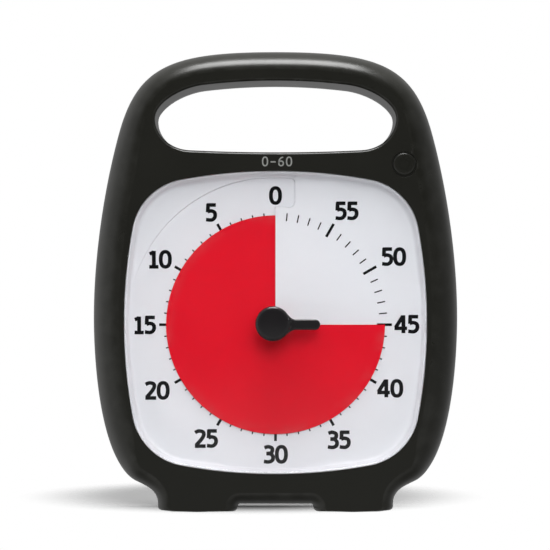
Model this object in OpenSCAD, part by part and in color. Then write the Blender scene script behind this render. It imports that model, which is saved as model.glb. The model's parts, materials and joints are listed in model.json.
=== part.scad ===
// Sixty-minute visual countdown timer with a carrying handle.
// X runs to the right, Y from front to back and Z up. The origin is on the surface
// that the timer stands on, under the middle of its bounding box.

/* [Housing] */
// Height of the housing, feet to the top of the handle
body_h = 178; // [177:0.5:180]
// Width of the housing at its widest
body_w = 141.4; // [140.4:0.2:143]
// Y of the flat front face
face_y = -17; // [-17.4:0.1:-16.9]
// Y of the flat back face
back_y = 24; // [23.8:0.1:24.4]
// Wall thickness of both shells
wall = 2.2; // [2:0.1:2.4]
// How far the front edge rolls inwards
front_roll = 11; // [10:0.5:12]
// How far the back edge rolls inwards
back_roll = 9; // [8:0.5:10]
// Height of the arch between the feet
arch_h = 2.8; // [2.4:0.1:3.2]
// Distance from the middle to the inner side of a foot
foot_in = 14.7; // [13:0.5:17]
// Distance from the middle to the outer side of a foot
foot_out = 45.2; // [44.6:0.2:45.6]

/* [Handle opening] */
// Half of the opening's width at the parting plane
grip_half_w = 45.8; // [45:0.2:46]
// Height of the middle of the opening
grip_z = 152.05; // [151.8:0.05:152.2]
// Half of the opening's height
grip_half_h = 13.25; // [12.8:0.05:13.3]
// Rounding of the opening's front and back edges
grip_edge_r = 1.6; // [1.2:0.1:2]
// How much wider the opening is at the front than at the parting plane
grip_draft_front = 0.5; // [0.3:0.1:0.8]
// How much wider the opening is at the back than at the parting plane
grip_draft_back = 1.3; // [0.5:0.1:1.5]

/* [Window and lens] */
// Half of the window's width and height
window_half = 58.2; // [58:0.1:58.4]
// Height of the window's middle
window_z = 72.9; // [72.8:0.1:73]
// Radius of the window's four long sides
window_side_r = 200; // [190:5:220]
// Radius of the window's corners
window_corner_r = 23; // [22:0.5:24]
// Thickness of the clear lens
lens_t = 1.5; // [1.3:0.1:1.5]

/* [Dial and disc] */
// Height of the dial's centre, which is the axis of the disc and the knob
dial_z = 72; // [71.9:0.1:72.1]
// Y of the dial's raised face
dial_y = -9.6; // [-9.7:0.05:-9.55]
// Thickness of the dial's ramp
dial_t = 0.7; // [0.6:0.05:0.75]
// Radius of the red disc
disc_r = 42.3; // [41.5:0.1:42.4]
// Thickness of the red disc
disc_t = 0.3; // [0.25:0.05:0.3]
// Gap between the disc and the ramp it runs on
disc_gap = 0.3; // [0.25:0.05:0.3]
// Rise of the dial's ramp in one turn
ramp_rise = 1.6; // [1.55:0.05:1.65]
// Radius of the sunken part of the dial
recess_r = 57; // [56:0.2:57]
// How far the sunken part runs past twelve o'clock
recess_past = 7.6; // [7:0.2:9]

/* [Knob and button] */
// Diameter of the knob's head
knob_d = 13.4; // [12.6:0.1:13.6]
// Length of the knob's arm from the axis
knob_arm = 17.1; // [16:0.1:18]
// Width of the knob's arm
knob_arm_w = 4; // [3.6:0.1:4.4]
// Diameter of the front push button
button_d = 8.4; // [8:0.1:8.4]
// Travel of the front push button
button_travel = 0.8; // [0.5:0.1:0.8]

/* [Battery and sound] */
// Diameter of the AA cell
cell_d = 14.5; // [14.1:0.1:14.5]
// Length of the AA cell without its button
cell_l = 49.2; // [48.8:0.1:49.2]
// Diameter of the volume dial on the back
volume_d = 18.4; // [17:0.2:18.4]
// Diameter of the buzzer's cup
buzzer_d = 25; // [23:0.5:25]

/* [Hidden] */
$fn = 48;

part_y = 3.5;                       // the plane where the two shells meet
part_chamfer = 0.35;                // small groove along that plane
roll_depth = 15;                    // depth over which the front edge rolls
back_roll_depth = 14;               // depth over which the back edge rolls
half_w = body_w / 2;
inner_face_y = face_y + wall;
inner_back_y = back_y - wall;
far = 2;                            // how far a cutter runs past what it cuts

housing_colour = [0.14, 0.14, 0.13];
white_colour = [0.89, 0.89, 0.91];
red_colour = [0.85, 0.11, 0.18];
black_colour = [0.08, 0.08, 0.08];
steel_colour = [0.75, 0.75, 0.77];
brass_colour = [0.80, 0.65, 0.30];
gear_colour = [0.90, 0.90, 0.84];
board_colour = [0.10, 0.35, 0.20];

// ---------------------------------------------------------------- curves and solids

function bezier(p, t) =
    pow(1 - t, 3) * p[0] + 3 * t * pow(1 - t, 2) * p[1] + 3 * t * t * (1 - t) * p[2] + pow(t, 3) * p[3];
function clamp01(t) = min(1, max(0, t));
function smooth(t) = let (c = clamp01(t)) c * c * (3 - 2 * c);
function mirrored(path) = [for (i = [len(path) - 1:-1:0]) [-path[i][0], path[i][1]]];

// Outward normal at a point of a closed [x, z] path that runs clockwise from the front
function outward(path, i) =
    let (n = len(path), d = path[(i + 1) % n] - path[(i + n - 1) % n]) [-d[1], d[0]] / norm(d);
function offset_path(path, d) = [for (i = [0:len(path) - 1]) path[i] + d * outward(path, i)];
function lift(path, y) = [for (p = path) [p[0], y, p[1]]];

function mean(points) = [for (p = points) 1] * points / len(points);

// A solid through closed rings of equal length that run from front to back
module loft(rings) {
    n = len(rings[0]);
    m = len(rings);
    front = n * m;
    back = front + 1;
    sides = [for (k = [0:m - 2]) for (i = [0:n - 1])
        let (a = k * n + i, b = k * n + (i + 1) % n, c = a + n, d = b + n)
            each [[a, c, b], [b, c, d]]];
    caps = [for (i = [0:n - 1]) let (j = (i + 1) % n)
        each [[front, i, j], [back, (m - 1) * n + j, (m - 1) * n + i]]];
    polyhedron(points = concat([for (r = rings) each r], [mean(rings[0]), mean(rings[m - 1])]),
        faces = concat(sides, caps), convexity = 10);
}

// A plate whose outline is a 2D shape in X and Z, between two values of Y
module plate(y0, y1) {
    translate([0, y1, 0]) rotate([90, 0, 0]) linear_extrude(y1 - y0) children();
}

// A round rod along Y
module rod(p, y0, y1, r, sides = $fn) {
    translate([p[0], y1, p[1]]) rotate([90, 0, 0]) cylinder(h = y1 - y0, r = r, $fn = sides);
}

// A round rod along X
module rod_x(y, z, x0, x1, r) {
    translate([x0, y, z]) rotate([0, 90, 0]) cylinder(h = x1 - x0, r = r);
}

// A box between two corners
module box(lo, hi) {
    translate(lo) cube(hi - lo);
}

// The outline of a rectangle with round corners, centred on p
function rounded_rect(p, w, h, r, steps = 6) =
    [for (q = [0:3]) for (k = [0:steps])
        let (a = 90 - 90 * q - 90 * k / steps, sx = q < 2 ? 1 : -1, sz = q == 0 || q == 3 ? 1 : -1)
            [p[0] + sx * (w / 2 - r) + r * cos(a), p[1] + sz * (h / 2 - r) + r * sin(a)]];

// A screw along Y with its head at y0 and its tip at y1
module screw(p, y0, y1, head_r, head_h, shank_r) {
    slot_r = head_r * 0.55;
    slot_w = head_r * 0.22;
    top_y = y0 + sign(y0 - y1) * head_h;
    difference() {
        rod(p, min(y0, top_y), max(y0, top_y), head_r);
        for (a = [0, 90])
            translate([p[0], top_y, p[1]]) rotate([0, a, 0])
                cube([2 * slot_r, head_h, 2 * slot_w], center = true);
    }
    rod(p, min(y0, y1), max(y0, y1), shank_r);
}

// A wire of radius r along a smooth curve through hand-placed points
module wire(points, r, steps = 4, up = [0.31, 0.87, 0.39]) {
    n = len(points);
    sides = 8;
    function at(i) = points[min(n - 1, max(0, i))];
    function spline(i, t) = 0.5 * (2 * at(i) + (at(i + 1) - at(i - 1)) * t
        + (2 * at(i - 1) - 5 * at(i) + 4 * at(i + 1) - at(i + 2)) * t * t
        + (3 * at(i) - at(i - 1) - 3 * at(i + 1) + at(i + 2)) * t * t * t);
    path = concat([for (i = [0:n - 2]) for (k = [0:steps - 1]) spline(i, k / steps)], [points[n - 1]]);
    last = len(path) - 1;
    function direction(i) =
        let (d = i == 0 ? points[1] - points[0] : i == last ? points[n - 1] - points[n - 2]
            : path[i + 1] - path[i - 1]) d / norm(d);
    function ring(i) =
        let (t = direction(i), s = cross(t, up), u = s / norm(s), v = cross(t, u))
            [for (a = [0:360 / sides:359]) path[i] + r * (cos(a) * u + sin(a) * v)];
    skin = [for (k = [0:last - 1]) for (i = [0:sides - 1])
        let (a = k * sides + i, b = k * sides + (i + 1) % sides)
            each [[a, a + sides, b], [b, a + sides, b + sides]]];
    polyhedron(points = [for (i = [0:last]) each ring(i)],
        faces = concat([[for (i = [0:sides - 1]) i]], skin, [[for (i = [sides - 1:-1:0]) last * sides + i]]),
        convexity = 10);
}

// ---------------------------------------------------------------- outlines

shoulder = [half_w - 9.7, body_h - 32];
widest = [half_w, 75];
hip = [half_w - 17.3, 11.2];
outline_curves = [
    [[0, body_h], [41, body_h], [half_w - 16.9, body_h - 5.5], shoulder],
    [shoulder, [half_w - 4.5, body_h - 51], [half_w, 100], widest],
    [widest, [half_w, 55.5], [half_w - 2.9, 16.9], hip],
    [hip, [43, 7.1], [34, arch_h], [0, arch_h]]];
outline_steps = [12, 6, 12, 6];
tub_steps = [8, 3, 7, 4];
function curve_points(s, steps) = [for (k = [0:steps[s] - 1]) bezier(outline_curves[s], k / steps[s])];
sides_right = [for (s = [0:2]) each curve_points(s, outline_steps)];

// Outline without the feet, for the hollow inside
tub_right = [for (s = [0:3]) each curve_points(s, tub_steps)];
tub = concat(tub_right, [[0, arch_h]], mirrored([for (i = [1:len(tub_right) - 1]) tub_right[i]]));

// Outline with the feet
foot_side = foot_out + 0.3;
ankle_z = 3.6;
toe_r = 1.5;                        // rounding of a foot's outer corner
toe_lift = 0.4;                     // how far that corner stays off the surface
toe_l = 5;                          // length over which the sole comes down from it
arch_r = 1.2;
arch_in = foot_in - arch_r;
heel_r = arch_h - arch_r - 0.1;     // rounding of a foot's inner corner
ankle = [hip, [half_w - 21.1, 9.4], [foot_side + 0.5, 8], [foot_side, ankle_z]];
foot_right = concat(
    [for (k = [0:5]) bezier(ankle, k / 5)],
    [for (a = [0:-18:-90]) [foot_side - toe_r * (1 - cos(a)), toe_lift + toe_r * (1 + sin(a))]],
    [[foot_out - toe_l, 0], [(foot_in + foot_out) / 2, 0]],
    [for (a = [-90:-30:-180]) [foot_in + heel_r * (1 + cos(a)), heel_r * (1 + sin(a))]],
    [for (a = [0:30:90]) [arch_in + arch_r * cos(a), arch_h - arch_r * (1 - sin(a))]],
    [[10, arch_h], [5, arch_h]]);
outline_right = concat(sides_right, foot_right);
outline = concat(outline_right, [[0, arch_h]],
    mirrored([for (i = [1:len(outline_right) - 1]) outline_right[i]]));

// The edges roll less along the handle, under the arch and round the feet than round the body.
// A foot narrows from both sides as its edges roll, and its sole hardly rises.
handle_roll = 0.73;
arch_roll = 0.43;
sole_roll = 0.05;

// Where the roll takes a point of the outline with normal n, as a share of the full roll
function roll_push(p, n) =
    let (over = 1 - (1 - handle_roll) * smooth((p[1] - 130) / 40),
        low = arch_roll + (1 - arch_roll) * smooth((p[1] - ankle_z) / 26),
        across = clamp01((abs(p[0]) - foot_in) / (foot_out - foot_in)))
    p[1] > 60 ? -over * n
        : p[1] > ankle_z + 0.01 ? -low * n
        : abs(p[0]) < foot_in ? -arch_roll * n
        : [sign(p[0]) * arch_roll * (1 - 2 * across), -sole_roll * n[1]];
tub_roll = 0.86;
function tub_share(p) = tub_roll * (1 - (1 - handle_roll) * smooth((p[1] - 130) / 40));

// A ring of the outer surface: turned is how far the edge has rolled, 90 at the flat face
function shell_ring(turned, flat_y, inwards, roll, depth) =
    [for (i = [0:len(outline) - 1])
        let (push = roll_push(outline[i], outward(outline, i)),
            q = outline[i] + roll * (1 - cos(turned)) * push)
            [q[0], flat_y + inwards * depth * min(1, norm(push) / handle_roll) * (1 - sin(turned)), q[1]]];
function plain_ring(path, inset, y) = lift(offset_path(path, -inset), y);
function tub_ring(inset, roll, y) =
    [for (i = [0:len(tub) - 1])
        let (p = tub[i], q = p - (inset + roll * tub_share(p)) * outward(tub, i)) [q[0], y, q[1]]];

// Handle opening at the parting plane
grip_top = grip_z + grip_half_h;
grip_bottom = grip_z - grip_half_h;
grip_shoulder = [grip_half_w - 17.8, grip_top - 1.7];
grip_heel = [grip_half_w - 12.8, grip_bottom + 0.8];
grip_side = [grip_half_w, grip_z - 0.9];
grip_upper = [grip_shoulder, [grip_half_w - 9.3, grip_top - 2.9], [grip_half_w, grip_top - 8.5], grip_side];
grip_lower = [grip_side, [grip_half_w, grip_bottom + 6.8], [grip_half_w - 5, grip_bottom + 1.2], grip_heel];
grip_right = concat(
    [for (k = [0:3]) [k / 4 * grip_shoulder[0], grip_top - 1.7 * pow(k / 4, 2)]],
    [for (k = [0:7]) bezier(grip_upper, k / 8)],
    [for (k = [0:5]) bezier(grip_lower, k / 6)],
    [for (k = [4:-1:1]) [k / 4 * grip_heel[0], grip_bottom + 0.8 * pow(k / 4, 2)]]);
grip_path = concat(grip_right, [[0, grip_bottom]],
    mirrored([for (i = [1:len(grip_right) - 1]) grip_right[i]]));

// Window: a square with bowed sides and round corners, grown by d all round
side_centre = window_side_r - window_half;
function window_corner_at(d) =
    (-side_centre + sqrt(2 * pow(window_side_r - window_corner_r, 2) - side_centre * side_centre)) / 2;
function window_path(d, corner_steps = 12, side_steps = 10) =
    let (c = window_corner_at(d), lean = atan2(c, c + side_centre), big = window_side_r + d,
        small = window_corner_r + d)
    [for (q = [0:3]) each concat(
        [for (k = [0:side_steps - 1])
            let (a = -lean + 2 * lean * k / side_steps, p = [big * sin(a), big * cos(a) - side_centre])
                window_turn(p, q)],
        [for (k = [0:corner_steps - 1])
            let (a = lean + (90 - 2 * lean) * k / corner_steps, p = [c + small * sin(a), c + small * cos(a)])
                window_turn(p, q)])];
function window_turn(p, q) =
    let (a = -90 * q) [p[0] * cos(a) - p[1] * sin(a), p[0] * sin(a) + p[1] * cos(a) + window_z];

// ---------------------------------------------------------------- housing

dial_boss = [52.8, 53.6];           // the dial's upper fixing screws, from the dial's centre
dial_boss_low = [52.8, -52.4];      // and the lower ones
dial_bosses = [for (p = [dial_boss, dial_boss_low]) for (s = [-1, 1]) [s * p[0], dial_z + p[1]]];
dial_boss_r = 3;
case_bosses = [for (p = [[53.1, 150], [36, 9.5]]) for (s = [-1, 1]) [s * p[0], p[1]]];
case_boss_r = 4;
case_screw_r = 1.3;
case_seat_y = 15;                   // where the heads of the case screws sit
case_pilot_y = -8;
ear_y = -6.9;                       // back of the dial and of its fixing ears
ear_t = 2.4;
ear_r = 3.1;
dial_screw_r = 1.15;
dial_pilot_y = -13.8;
button_at = [49.5, 133.7];
button_r = button_d / 2;
button_fit = 0.08;
button_groove = [0.7, 0.6];         // width and depth of the groove round the button
button_guide_r = 6.2;
button_guide_y = -11;
board_post = [54.6, 138.6];
board_post_r = 2;
board_pilot_y = -9;
button_board_y = -3.2;
small_screw_r = 0.9;
screw_bite = 0.05;                  // how much narrower than its screw a pilot hole is
screw_clearance = 0.3;              // how much wider than its screw a clearance hole is

module body_solid_front() {
    rim_y = part_y - part_chamfer;
    loft(concat(
        [for (a = [90:-18:0]) shell_ring(a, face_y, 1, front_roll, roll_depth)],
        [plain_ring(outline, 0, rim_y), plain_ring(outline, part_chamfer, part_y)]));
}

module body_hollow_front() {
    roll_y = face_y + roll_depth;
    loft(concat(
        [for (a = [90:-30:30]) tub_ring(wall * cos(a), front_roll * (1 - cos(a)),
            roll_y - (roll_depth - wall) * sin(a))],
        [plain_ring(tub, wall, roll_y), plain_ring(tub, wall, part_y + far)]));
}

module body_solid_rear() {
    rim_y = part_y + part_chamfer;
    loft(concat(
        [plain_ring(outline, part_chamfer, part_y), plain_ring(outline, 0, rim_y)],
        [for (a = [0:18:90]) shell_ring(a, back_y, -1, back_roll, back_roll_depth)]));
}

module body_hollow_rear() {
    roll_y = back_y - back_roll_depth;
    loft(concat(
        [plain_ring(tub, wall, part_y - far), plain_ring(tub, wall, roll_y)],
        [for (a = [30:30:90]) tub_ring(wall * cos(a), back_roll * (1 - cos(a)),
            roll_y + (back_roll_depth - wall) * sin(a))]));
}

// The hollow in each foot opens into the body; its side walls are thick, because the edges roll
module foot_hollows(y0, y1) {
    half = (foot_out - foot_in) / 2 - wall - 1;
    for (s = [-1, 1]) let (x = s * (foot_in + foot_out) / 2)
        box([x - half, y0, wall], [x + half, y1, hip[1]]);
}

module grip_tube(y0, y1) {
    plate(y0, y1) polygon(offset_path(grip_path, wall - 0.2));
}

// The opening widens from the parting plane to both faces, where its edges are rounded
module grip_bore() {
    r = grip_edge_r;
    past = 0.12;
    function ring(draft, turned, y) = lift(offset_path(grip_path, draft + r * (1 - cos(turned))), y);
    loft(concat(
        [ring(grip_draft_front, 90, face_y - far)],
        [for (a = [90:-30:0]) ring(grip_draft_front, a, face_y - past + r * (1 - sin(a)))],
        [ring(0, 0, part_y)],
        [for (a = [0:30:90]) ring(grip_draft_back, a, back_y + past - r * (1 - sin(a)))],
        [ring(grip_draft_back, 90, back_y + far)]));
}

web_reach = 7;                      // how far a post's web runs out towards the wall
web_half_t = 0.7;

// A screw post with a web that ties it to the wall beside it
module webbed_post(p, y0, y1, r, reach) {
    rod(p, y0, y1, r, 24);
    hull() {
        rod(p, y0, y1, web_half_t, 12);
        rod(p + [sign(p[0]) * reach, 0], y0, y1, web_half_t, 12);
    }
}

module front_shell() {
    color(housing_colour) difference() {
        body_solid_front();
        difference() {
            union() {
                body_hollow_front();
                foot_hollows(inner_face_y + 0.6, part_y + far);
            }
            grip_tube(face_y, part_y + 2 * far);
            for (p = dial_bosses) webbed_post(p, face_y, ear_y - ear_t, dial_boss_r, web_reach);
            for (p = case_bosses) webbed_post(p, face_y + 0.5, part_y + 2 * far, case_boss_r, web_reach);
            rod(button_at, face_y, button_guide_y, button_guide_r);
            rod(board_post, face_y, button_board_y, board_post_r, 24);
        }
        grip_bore();
        plate(face_y - far, inner_face_y + far) polygon(window_path(0));
        rod(button_at, face_y - far, button_guide_y + far, button_r + button_fit);
        rod(button_at, face_y - far, face_y + button_groove[1], button_r + button_groove[0]);
        for (p = dial_bosses) rod(p, dial_pilot_y, ear_y, dial_screw_r - screw_bite, 24);
        for (p = case_bosses) rod(p, case_pilot_y, part_y + far, case_screw_r - screw_bite, 24);
        rod(board_post, board_pilot_y, button_board_y + far, small_screw_r - screw_bite, 24);
    }
}

volume_at = [44, 96];
volume_r = volume_d / 2;
volume_floor_y = 20.8;
volume_shaft_r = 3;
volume_shaft_end_y = 22.6;
buzzer_at = [-44, 96];
buzzer_r = buzzer_d / 2;
tray_half_w = 31;
tray_z = [20.5, 39.5];
tray_front_y = 5.5;
cell_at = [14.4, 30];               // y and z of the cell's axis
cell_pocket = [29, 7.8];            // half length and half height of the cell's pocket
door_half_w = 31;
door_z = [20.5, 40.3];
door_t = 1.9;
door_pin_r = 1;
door_gap = 0.3;
door_pivot_y = back_y - 1.1;
door_tab_w = 12;
door_tab_h = 1.6;
board_boss_points = [[33.5, 79.5], [55, 112.5]];
board_boss_r = 2.2;
board_screw_end_y = 19.5;
main_board_y = [12.5, 14.1];
case_well_r = 3.1;
rib_x = [60, 72];
rib_z = [50, 70, 90, 110];
rib_y = 14;
cup_y = 15.8;                       // front of the buzzer's cup
cup_ring_y = 19;                    // front of the ring that the cup sits in
slot_pitch = 2.9;                   // of the sound slots
slot_w = 1.4;
slot_reach = 9;

// What stands inside the rear shell
module rear_shell_ribs() {
    grip_tube(part_y - 2 * far, back_y);
    for (p = case_bosses) webbed_post(p, part_y - 2 * far, back_y, case_boss_r, web_reach);
    for (s = [-1, 1]) for (z = rib_z)
        hull() for (x = rib_x) rod([s * x, z], rib_y, back_y, web_half_t, 12);
    box([-tray_half_w, tray_front_y, tray_z[0]], [tray_half_w, back_y, tray_z[1]]);
    box([-door_half_w - 2, inner_back_y - 2, tray_z[0] - 3.5], [door_half_w + 2, back_y, door_z[1] + 4.5]);
    rod(volume_at, volume_floor_y - 1.8, back_y, volume_r + 2.4);
    difference() {
        rod(buzzer_at, cup_ring_y, back_y, buzzer_r + 1.6);
        rod(buzzer_at, cup_ring_y - 1, inner_back_y, buzzer_r + 0.05);
    }
    for (p = board_boss_points) rod(p, main_board_y[1], back_y, board_boss_r, 24);
}

// Openings in the back: cell pocket, door recess, dial pocket, sound slots and screw wells
module rear_shell_cuts() {
    box([-cell_pocket[0], tray_front_y + 1.5, cell_at[1] - cell_pocket[1]],
        [cell_pocket[0], back_y + far, cell_at[1] + cell_pocket[1]]);
    for (s = [-1, 1])
        box([s * 28 - 1.5, 9, tray_z[1] - far], [s * 28 + 1.5, 12, tray_z[1] + far]);
    box([-door_half_w - door_gap, back_y - door_t, door_z[0]],
        [door_half_w + door_gap, back_y + far, door_z[1] + door_gap]);
    box([-door_half_w - door_gap, door_pivot_y, door_z[0] - 1.3],
        [door_half_w + door_gap, back_y + far, door_z[0] + 1]);
    rod_x(door_pivot_y, door_z[0], -door_half_w - door_gap, door_half_w + door_gap, door_pin_r + 0.06);
    box([-door_tab_w / 2 - door_gap, back_y - door_t, door_z[1]],
        [door_tab_w / 2 + door_gap, back_y + far, door_z[1] + door_tab_h + 1.2]);
    rod(volume_at, volume_floor_y, back_y + far, volume_r + 0.4);
    rod(volume_at, volume_floor_y - far, back_y, volume_shaft_r + 0.06);
    for (k = [-3:3]) let (half = sqrt(pow(slot_reach, 2) - 0.9 * pow(slot_pitch * k, 2)))
        plate(back_y - 3, back_y + far)
            polygon(rounded_rect(buzzer_at + [0, slot_pitch * k], 2 * half, slot_w, slot_w / 2 - 0.01, 3));
    for (p = case_bosses) {
        rod(p, case_seat_y, back_y + far, case_well_r, 32);
        rod(p, part_y - far, back_y, case_screw_r + screw_clearance, 24);
    }
    for (p = board_boss_points)
        rod(p, main_board_y[1] - far, board_screw_end_y + 0.5, small_screw_r - screw_bite, 24);
}

module rear_shell() {
    color(housing_colour) difference() {
        body_solid_rear();
        difference() {
            union() {
                body_hollow_rear();
                foot_hollows(part_y - far, inner_back_y - 0.6);
            }
            rear_shell_ribs();
        }
        grip_bore();
        rear_shell_cuts();
    }
}

// ---------------------------------------------------------------- lens, dial and disc

lens_front_y = face_y + 0.6;
lens_flange = 1.4;
lens_hole_r = 4.5;

module lens() {
    flange_y = inner_face_y + lens_t;
    gap = 0.25;
    color([0.85, 0.88, 0.92, 0.3]) difference() {
        union() {
            plate(inner_face_y, flange_y) polygon(window_path(lens_flange));
            loft([lift(window_path(-1.5), lens_front_y), lift(window_path(-0.8), lens_front_y + 0.25),
                lift(window_path(-gap), lens_front_y + 0.9), lift(window_path(-gap), inner_face_y + 0.5)]);
        }
        plate(lens_front_y + lens_t, flange_y + far) polygon(window_path(-gap - lens_t));
        rod([0, dial_z], face_y - far, flange_y + far, lens_hole_r);
    }
}

ramp_low_y = dial_y + ramp_rise;    // the ramp's face where it starts, just left of twelve
ramp_inner_r = 6.6;
ramp_outer_r = 45.2;
ramp_blend_r = 50;
step_w = 0.25;                      // draft of the recess's edge
rim_inset = 2;                      // width of the dial's raised rim inside the window
rim_y = inner_face_y + lens_t + 0.1;
ramp_cells = 72;
sheet_sink = 0.04;                  // the ramp lies this much behind the border's inner edge

// Y of the ramp's face at an angle counted anticlockwise from twelve
function ramp_y(a) = ramp_low_y - ramp_rise * a / 360;
// Outside the disc the dial climbs to its full height within a quarter turn
function recess_y(a) = ramp_low_y - ramp_rise * smooth(a / 90);
function polar(r, a) = [-r * sin(a), dial_z + r * cos(a)];

// The ramp that the disc turns on, a sheet with the shape of a lock washer
module ramp_sheet() {
    n = ramp_cells + 1;
    root_r = ramp_outer_r + 0.5;
    rows = [[ramp_inner_r, sheet_sink], [root_r, sheet_sink], [root_r, dial_t], [ramp_inner_r, dial_t]];
    points = [for (row = rows) for (k = [0:n - 1])
        let (a = 360 * k / ramp_cells, p = polar(row[0], a)) [p[0], ramp_y(a) + row[1], p[1]]];
    faces = [for (q = [0:3]) for (k = [0:n - 2])
        let (a = q * n + k, b = (q + 1) % 4 * n + k) each [[a, a + 1, b], [b, a + 1, b + 1]]];
    polyhedron(points = points, faces = concat(faces,
        [[0, n, 2 * n, 3 * n], [4 * n - 1, 3 * n - 1, 2 * n - 1, n - 1]]), convexity = 10);
}

rim_overlap = 2.2;                  // how far the rim reaches behind the bezel
lip_inset = 0.2;
rim_path = window_path(rim_overlap);
rim_count = len(rim_path);

// The dial outside the ramp: a block whose face holds the recess and the raised rim
module dial_border() {
    floor_path = window_path(-rim_inset);
    lip_path = window_path(-lip_inset);
    top = window_z + window_half - dial_z;
    seam = concat([for (r = [ramp_outer_r, ramp_blend_r, recess_r, recess_r + step_w]) asin(recess_past / r)],
        [for (d = [-rim_inset, -lip_inset, rim_overlap, rim_overlap]) atan(recess_past / (top + d))],
        [asin(recess_past / ramp_outer_r)]);
    cells = ramp_cells;
    function radius_on(path, a) =
        let (u = [-sin(a), cos(a)], hits = [for (k = [0:rim_count - 1])
            let (p = path[k] - [0, dial_z], q = path[(k + 1) % rim_count] - [0, dial_z],
                cp = u[0] * p[1] - u[1] * p[0], cq = u[0] * q[1] - u[1] * q[0])
            if (cp * cq <= 0 && u * p > 0 && cp != cq) norm(p + (q - p) * cp / (cp - cq))]) hits[0];
    function row(k, last) =
        let (share = k / cells, past = last ? 0.15 : 0)
        [for (i = [0:8])
            let (a = 360 * share - seam[i] - past,
                floor_r = radius_on(floor_path, a), edge = min(recess_r, floor_r - step_w - 0.1),
                r = i == 0 || i == 8 ? ramp_outer_r : i == 1 ? ramp_blend_r : i == 2 ? edge
                    : i == 3 ? edge + step_w : i == 4 ? floor_r : i == 5 ? radius_on(lip_path, a)
                    : radius_on(rim_path, a),
                y = i == 0 ? min(ramp_y(max(0, a)), ramp_low_y)
                    : i == 1 ? (ramp_y(max(0, a)) + recess_y(a)) / 2
                    : i == 2 ? recess_y(a) : i < 5 ? dial_y : i < 7 ? rim_y : ear_y - 0.15,
                p = polar(r, a))
            [p[0], y, p[1]]];
    rows = concat([for (k = [0:cells - 1]) row(k, false)], [row(cells, true)]);
    n = 9;
    m = len(rows);
    faces = [for (k = [0:m - 1]) for (i = [0:n - 1])
        let (a = k * n + i, b = k * n + (i + 1) % n, c = (k + 1) % m * n + i,
            d = (k + 1) % m * n + (i + 1) % n)
            each [[a, c, b], [b, c, d]]];
    polyhedron(points = [for (r = rows) each r], faces = faces, convexity = 10);
}

module dial_face() {
    color(white_colour) difference() {
        union() {
            ramp_sheet();
            dial_border();
            for (p = dial_bosses) let (s = sign(p[0]), t = sign(p[1] - dial_z)) {
                $fn = 24;
                hull() {
                    rod(p, ear_y - ear_t, ear_y, ear_r);
                    rod(p - 8 * [s, t], ear_y - ear_t, ear_y, 5);
                }
                hull() {
                    rod(p - 2 * [s, t], ear_y - ear_t, ear_y, ear_r);
                    rod(p - [2 * s, 12 * t], ear_y - ear_t, ear_y, 3);
                }
            }
        }
        for (p = dial_bosses) rod(p, ear_y - ear_t - far, ear_y + far, dial_screw_r + screw_clearance);
    }
}

disc_inner_r = 4.4;
turn_back = 90;                     // turn of the disc from the full hour to 45 minutes

module time_disc() {
    n = ramp_cells + 1;
    rows = [[disc_inner_r, disc_gap + disc_t], [disc_r, disc_gap + disc_t], [disc_r, disc_gap],
        [disc_inner_r, disc_gap]];
    points = [for (row = rows) for (k = [0:n - 1])
        let (a = 360 * k / ramp_cells - turn_back, p = polar(row[0], a)) [p[0], ramp_y(a) - row[1], p[1]]];
    faces = [for (q = [0:3]) for (k = [0:n - 2])
        let (a = q * n + k, b = (q + 1) % 4 * n + k) each [[a, a + 1, b], [b, a + 1, b + 1]]];
    color(red_colour) polyhedron(points = points, faces = concat(faces,
        [[0, n, 2 * n, 3 * n], [4 * n - 1, 3 * n - 1, 2 * n - 1, n - 1]]), convexity = 10);
}

hub_y = [-12.4, -5.5];
hub_r = 4.6;
hub_flange_r = 5.4;
arbor_flat = 2.6;                   // side of the arbor's square
square_fit = 0.06;

module disc_hub() {
    color(red_colour) difference() {
        union() {
            rod([0, dial_z], hub_y[0], hub_y[1], hub_r);
            rod([0, dial_z], hub_y[0], hub_y[0] + 1, hub_flange_r);
        }
        translate([0, (hub_y[0] + hub_y[1]) / 2, dial_z])
            cube([arbor_flat + 2 * square_fit, hub_y[1] - hub_y[0] + far, arbor_flat + 2 * square_fit],
                center = true);
    }
}

// ---------------------------------------------------------------- knob and arbor

knob_head = [-1, dial_z + 0.35];    // middle of the head, a little off the axis
knob_y = [-24.85, face_y - 0.6];
knob_stem_r = 4;
knob_stem_y = -13.2;
knob_edge = 1.6;                    // rounding of the head's front edge
knob_back_edge = 0.4;
knob_crown = 0.15;                  // how far the head's face bulges
arm_y = [knob_y[0] + 1.2, knob_y[1] - 0.4];
arm_r = knob_arm_w / 2;
arm_edge = 0.7;
arm_root_x = 2;
arbor_r = 1.9;
arbor_front_r = 1.3;
arbor_y = [-21.5, 14.8];
arbor_end_r = 1;

// Half section of the head, from its back at 0 to its crowned face
function knob_section(r, h) = concat(
    [[0, 0], [r - knob_back_edge, 0], [r, knob_back_edge]],
    [for (a = [0:15:90]) [r - knob_edge * (1 - cos(a)), h - knob_edge * (1 - sin(a))]],
    [[0, h + knob_crown]]);

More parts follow.
